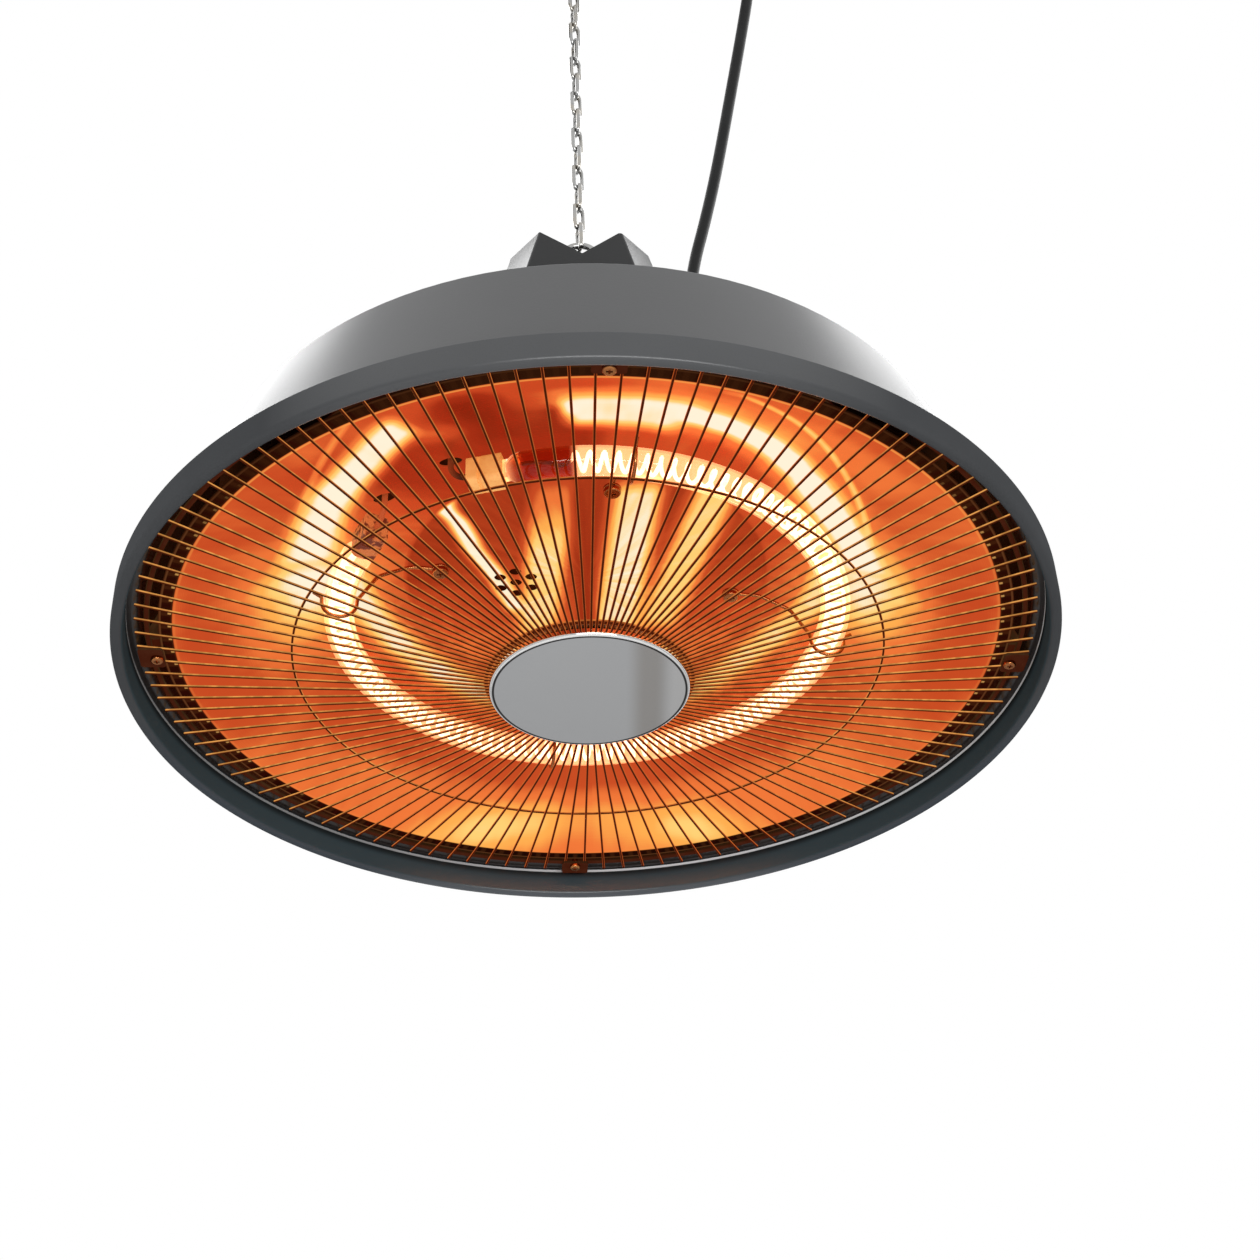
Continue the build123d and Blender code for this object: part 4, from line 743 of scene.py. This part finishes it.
# Near-black sheet for the heat shield: painted shade, seen through the reflector's vents
painted_shade_sheet = galvanised("sheet painted dark as shade", (0.035, 0.014, 0.006))
rubber = dark_plastic("black rubber", (0.010, 0.010, 0.010), 0.55)
nylon = dark_plastic("black nylon", (0.02, 0.02, 0.021), 0.42, 1800)
# Lit and shaded copies of the guard wire: the lamp's light and the rim's shade painted into their glow
lit_wire = guard_wire(
    "guard wire", (0.02, 0.004, 0.001), (0.95, 0.42, 0.1), (0.6, 0.1, 0.02), (0.75, 0.2, 0.04)
)
shaded_wire = guard_wire(
    "guard metal in the rim's shade", (0.012, 0.006, 0.003), (0.045, 0.02, 0.007), DIM, DIM
)

dress(rim_paint, "rim_channel")
dress(shade_paint, "shade", "crown_foot_screws")
dress(crown_paint, "crown_left", "crown_right", "eye_bridge")
dress(steel, "chain", "eye_bolt", "eye_nuts", "hook_body", "hook_gate", "gate_pin", "post_screws")
dress(lamp_lit_steel, "lamp_clips", "lamp_clip_screws", "guard_clip_screws")
dress(lamp_lit_steel, "shield_posts", "reflector_standoffs")
dress(lit_reflector("brushed reflector"), "reflector")
dress(sheet, "guard_disc_back")
dress(painted_shade_sheet, "heat_shield")
dress(chrome_disc("mirror chrome"), "guard_disc")
dress(lit_wire, "guard_spokes", "guard_inner_ring", "guard_mid_ring")
dress(shaded_wire, "guard_outer_ring", "guard_brackets", "guard_clips")
dress(quartz_glass("fused quartz"), "lamp_tube")
dress(glowing_wire("glowing wire"), "lamp_filament")
dress(warm_ceramic("cream ceramic"), "lamp_end_caps", "terminal_block")
dress(rubber, "power_cord_riser", "power_cord_coil", "inner_cable", "plug_body")
dress(lead_sleeve("browned sleeve"), "lamp_leads")
dress(brass, "plug_pins")
dress(nylon, "gland_body", "gland_nut", "gland_cap", "cord_tie", "cord_boot")


# Rim
def turned(name, profile, segments):
    """A closed profile of (radius, height) points in millimetres, turned about the Z axis."""
    mesh = bmesh.new()
    rings = []
    for k in range(segments):
        a = 2 * math.pi * k / segments
        ring = [world(r * math.cos(a), r * math.sin(a), z) for r, z in profile]
        rings.append([mesh.verts.new(p) for p in ring])
    for low, high in zip(rings, rings[1:] + rings[:1]):
        for i in range(len(profile)):
            n = (i + 1) % len(profile)
            mesh.faces.new((low[i], high[i], high[n], low[n]))
    bmesh.ops.recalc_face_normals(mesh, faces=mesh.faces)
    data = bpy.data.meshes.new(name)
    mesh.to_mesh(data)
    mesh.free()
    data.shade_smooth()
    data.set_sharp_from_angle(angle=math.radians(40))
    obj = bpy.data.objects.new(name, data)
    bpy.context.scene.collection.objects.link(obj)
    return obj


def corner(centre, radius, start, end, steps):
    """Points of an arc in the profile's plane, from one angle in degrees to another."""
    turns = [math.radians(start + (end - start) * i / steps) for i in range(steps + 1)]
    return [(centre[0] + radius * math.cos(a), centre[1] + radius * math.sin(a)) for a in turns]


def add_rim():
    """The rim's rolled channel, turned finely enough for a smooth highlight."""
    low_in = (RIM_INSIDE + RIM_ROUND, RIM_ROUND)
    low_out = (RIM_R - RIM_ROUND, RIM_ROUND)
    profile = [(RIM_INSIDE, RIM_INNER_HEIGHT)]
    profile += corner(low_in, RIM_ROUND, 180, 270, 8)
    profile += corner(low_out, RIM_ROUND, 270, 360, 8)
    profile += [(RIM_R, RIM_OUTER_HEIGHT), (RIM_R - RIM_SHEET, RIM_OUTER_HEIGHT)]
    profile += corner(low_out, RIM_ROUND - RIM_SHEET, 360, 270, 6)
    profile += corner(low_in, RIM_ROUND - RIM_SHEET, 270, 180, 6)
    profile += [(RIM_INSIDE + RIM_SHEET, RIM_INNER_HEIGHT)]
    rim = turned("rim", profile, RIM_SEGMENTS)
    rim.data.materials.append(rim_paint)
    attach(rim, "heater")
    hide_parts("rim_channel")


add_rim()


# Power cord
def coil_place(turns):
    """The coil's line, in and out again in two layers, changing layer in the inmost half turn."""
    radius = COIL_R - COIL_PITCH * min(turns, COIL_TURNS - turns)
    share = min(1.0, max(0.0, 2 * (turns - COIL_TURNS / 2) + 0.5))
    y = COIL_Y - COIL_PITCH * share * share * (3 - 2 * share)
    a = 2 * math.pi * turns
    outwards = radius / math.cos(math.pi / COIL_POINTS)
    return (COIL_X + outwards * math.cos(a), y, COIL_Z + outwards * math.sin(a))


def cord_points():
    """The cord's control points: up from the boot, round the coil, and down to the plug."""
    riser = [
        (58.0, 48.0, GLAND_TOP + BOOT_LENGTH - CORD_START_DEPTH),
        (58.0, 47.8, 226.0),
        (58.6, 44.4, 250.0),
        (60.2, 40.0, 277.0),
        (64.4, 36.2, 306.0),
        (71.6, 32.2, 333.0),
        (78.4, 27.2, 361.0),
        (84.6, 21.4, 390.0),
        (90.6, 15.4, 420.0),
        (96.8, 9.6, 451.0),
        (102.6, 4.6, 481.0),
        (107.6, 0.4, 509.0),
        (111.2, -2.2, 534.0),
    ]
    steps = int(COIL_TURNS * COIL_POINTS)
    coil = [coil_place(COIL_TURNS * i / steps) for i in range(steps + 1)]
    front = COIL_Y - COIL_PITCH
    top = COIL_Z + COIL_R
    tail = [
        (COIL_X - 26.0, front - 1.2, top),
        (COIL_X - 54.0, front - 7.0, top - 3.5),
        (COIL_X - 80.0, front - 15.0, top - 20.0),
        (COIL_X - 91.0, front - 18.6, top - 45.0),
        (COIL_X - 93.0, front - 19.4, top - 62.0),
    ]
    return riser + coil + tail


def spline_line(points, resolution):
    """Points read from a smooth NURBS spline that has the given control points."""
    data = bpy.data.curves.new("cord line", "CURVE")
    data.dimensions = "3D"
    data.resolution_u = resolution
    spline = data.splines.new("NURBS")
    spline.points.add(len(points) - 1)
    for p, q in zip(spline.points, points):
        p.co = (*world(*q), 1.0)
    spline.order_u = 3
    spline.use_endpoint_u = True
    holder = bpy.data.objects.new("cord line", data)
    line = bpy.data.meshes.new_from_object(holder)
    found = [v.co.copy() for v in line.vertices]
    bpy.data.objects.remove(holder)
    bpy.data.curves.remove(data)
    bpy.data.meshes.remove(line)
    return found


def tube_mesh(name, line, radius, around):
    """A tube along a line, with closed ends and no twist."""
    mesh = bmesh.new()
    rings = []
    side = None
    for i, p in enumerate(line):
        ahead = (line[min(i + 1, len(line) - 1)] - line[max(i - 1, 0)]).normalized()
        if side is None:
            side = ahead.orthogonal().normalized()
        side = (side - ahead * side.dot(ahead)).normalized()
        other = ahead.cross(side)
        ring = []
        for k in range(around):
            a = 2 * math.pi * k / around
            ring.append(mesh.verts.new(p + (side * math.cos(a) + other * math.sin(a)) * radius))
        rings.append(ring)
    for low, high in zip(rings, rings[1:]):
        for k in range(around):
            n = (k + 1) % around
            mesh.faces.new((low[k], low[n], high[n], high[k]))
    mesh.faces.new(rings[0][::-1])
    mesh.faces.new(rings[-1])
    data = bpy.data.meshes.new(name)
    mesh.to_mesh(data)
    mesh.free()
    for polygon in data.polygons:
        polygon.use_smooth = len(polygon.vertices) == 4
    obj = bpy.data.objects.new(name, data)
    bpy.context.scene.collection.objects.link(obj)
    return obj


cord_line = spline_line(cord_points(), CORD_STEPS)
cord = tube_mesh("power_cord", cord_line, CORD_R * MM, CORD_SIDES)
cord.data.materials.append(rubber)
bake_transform(cord)
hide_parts("power_cord_riser", "power_cord_coil")


# Studio, in metres and watts
FLOOR_Z = -2.1
FLOOR_HALF = 9.0
SEEN_WHITE = (1, 1, 1, 1)
SKY_TONE = (0.96, 0.98, 1.0, 1)
SKY_LIGHT = 0.46
HEATER = (0.0, 0.0, -0.55)
CROWN = (0, 0, -0.4)
SOFTBOXES = [
    # name, place, target, width, height, power
    ("softbox_left", (-1.7, 0.5, 0.2), HEATER, 0.9, 1.4, 26),
    ("softbox_right", (1.7, 0.5, 0.2), HEATER, 0.9, 1.4, 20),
    ("softbox_front", (0.3, -2.0, -1.4), HEATER, 1.5, 0.5, 22),
    ("softbox_crown_left", (-0.9, 1.1, 1.0), CROWN, 0.9, 0.9, 9),
    ("softbox_crown_right", (0.9, 1.1, 1.0), CROWN, 0.9, 0.9, 7),
]


def add_stage():
    """A plain pale floor, far below the heater."""
    mesh = bmesh.new()
    bmesh.ops.create_grid(mesh, x_segments=1, y_segments=1, size=FLOOR_HALF)
    data = bpy.data.meshes.new("floor")
    mesh.to_mesh(data)
    mesh.free()
    floor = bpy.data.objects.new("floor", data)
    floor.location = (0, 0, FLOOR_Z)
    bpy.context.scene.collection.objects.link(floor)
    net = Net("plain floor")
    net.principled(Base_Color=(0.82, 0.82, 0.82), Roughness=0.7)
    floor.data.materials.append(net.material)


def add_world():
    """White where it is seen, mirrored or looked through, and a dimmer sky as light."""
    world_data = bpy.data.worlds.new("studio")
    world_data.use_nodes = True
    tree = world_data.node_tree
    tree.nodes.clear()
    out = tree.nodes.new("ShaderNodeOutputWorld")
    seen = tree.nodes.new("ShaderNodeBackground")
    seen.inputs[0].default_value = SEEN_WHITE
    seen.inputs[1].default_value = 1.0
    light = tree.nodes.new("ShaderNodeBackground")
    light.inputs[0].default_value = SKY_TONE
    light.inputs[1].default_value = SKY_LIGHT
    path = tree.nodes.new("ShaderNodeLightPath")
    first = tree.nodes.new("ShaderNodeMath")
    first.operation = "ADD"
    second = tree.nodes.new("ShaderNodeMath")
    second.operation = "ADD"
    second.use_clamp = True
    mix = tree.nodes.new("ShaderNodeMixShader")
    tree.links.new(path.outputs["Is Camera Ray"], first.inputs[0])
    tree.links.new(path.outputs["Is Glossy Ray"], first.inputs[1])
    tree.links.new(first.outputs[0], second.inputs[0])
    tree.links.new(path.outputs["Is Transmission Ray"], second.inputs[1])
    tree.links.new(second.outputs[0], mix.inputs[0])
    tree.links.new(light.outputs[0], mix.inputs[1])
    tree.links.new(seen.outputs[0], mix.inputs[2])
    tree.links.new(mix.outputs[0], out.inputs[0])
    bpy.context.scene.world = world_data


def add_softbox(name, place, target, width, height, power):
    data = bpy.data.lights.new(name, "AREA")
    data.shape = "RECTANGLE"
    data.size = width
    data.size_y = height
    data.energy = power
    obj = bpy.data.objects.new(name, data)
    place = Vector(place)
    way = Vector(target) - place
    obj.matrix_world = Matrix.Translation(place) @ way.to_track_quat("-Z", "Y").to_matrix().to_4x4()
    bpy.context.scene.collection.objects.link(obj)


add_stage()
add_world()
for softbox in SOFTBOXES:
    add_softbox(*softbox)

bpy.context.scene.view_settings.view_transform = "Standard"
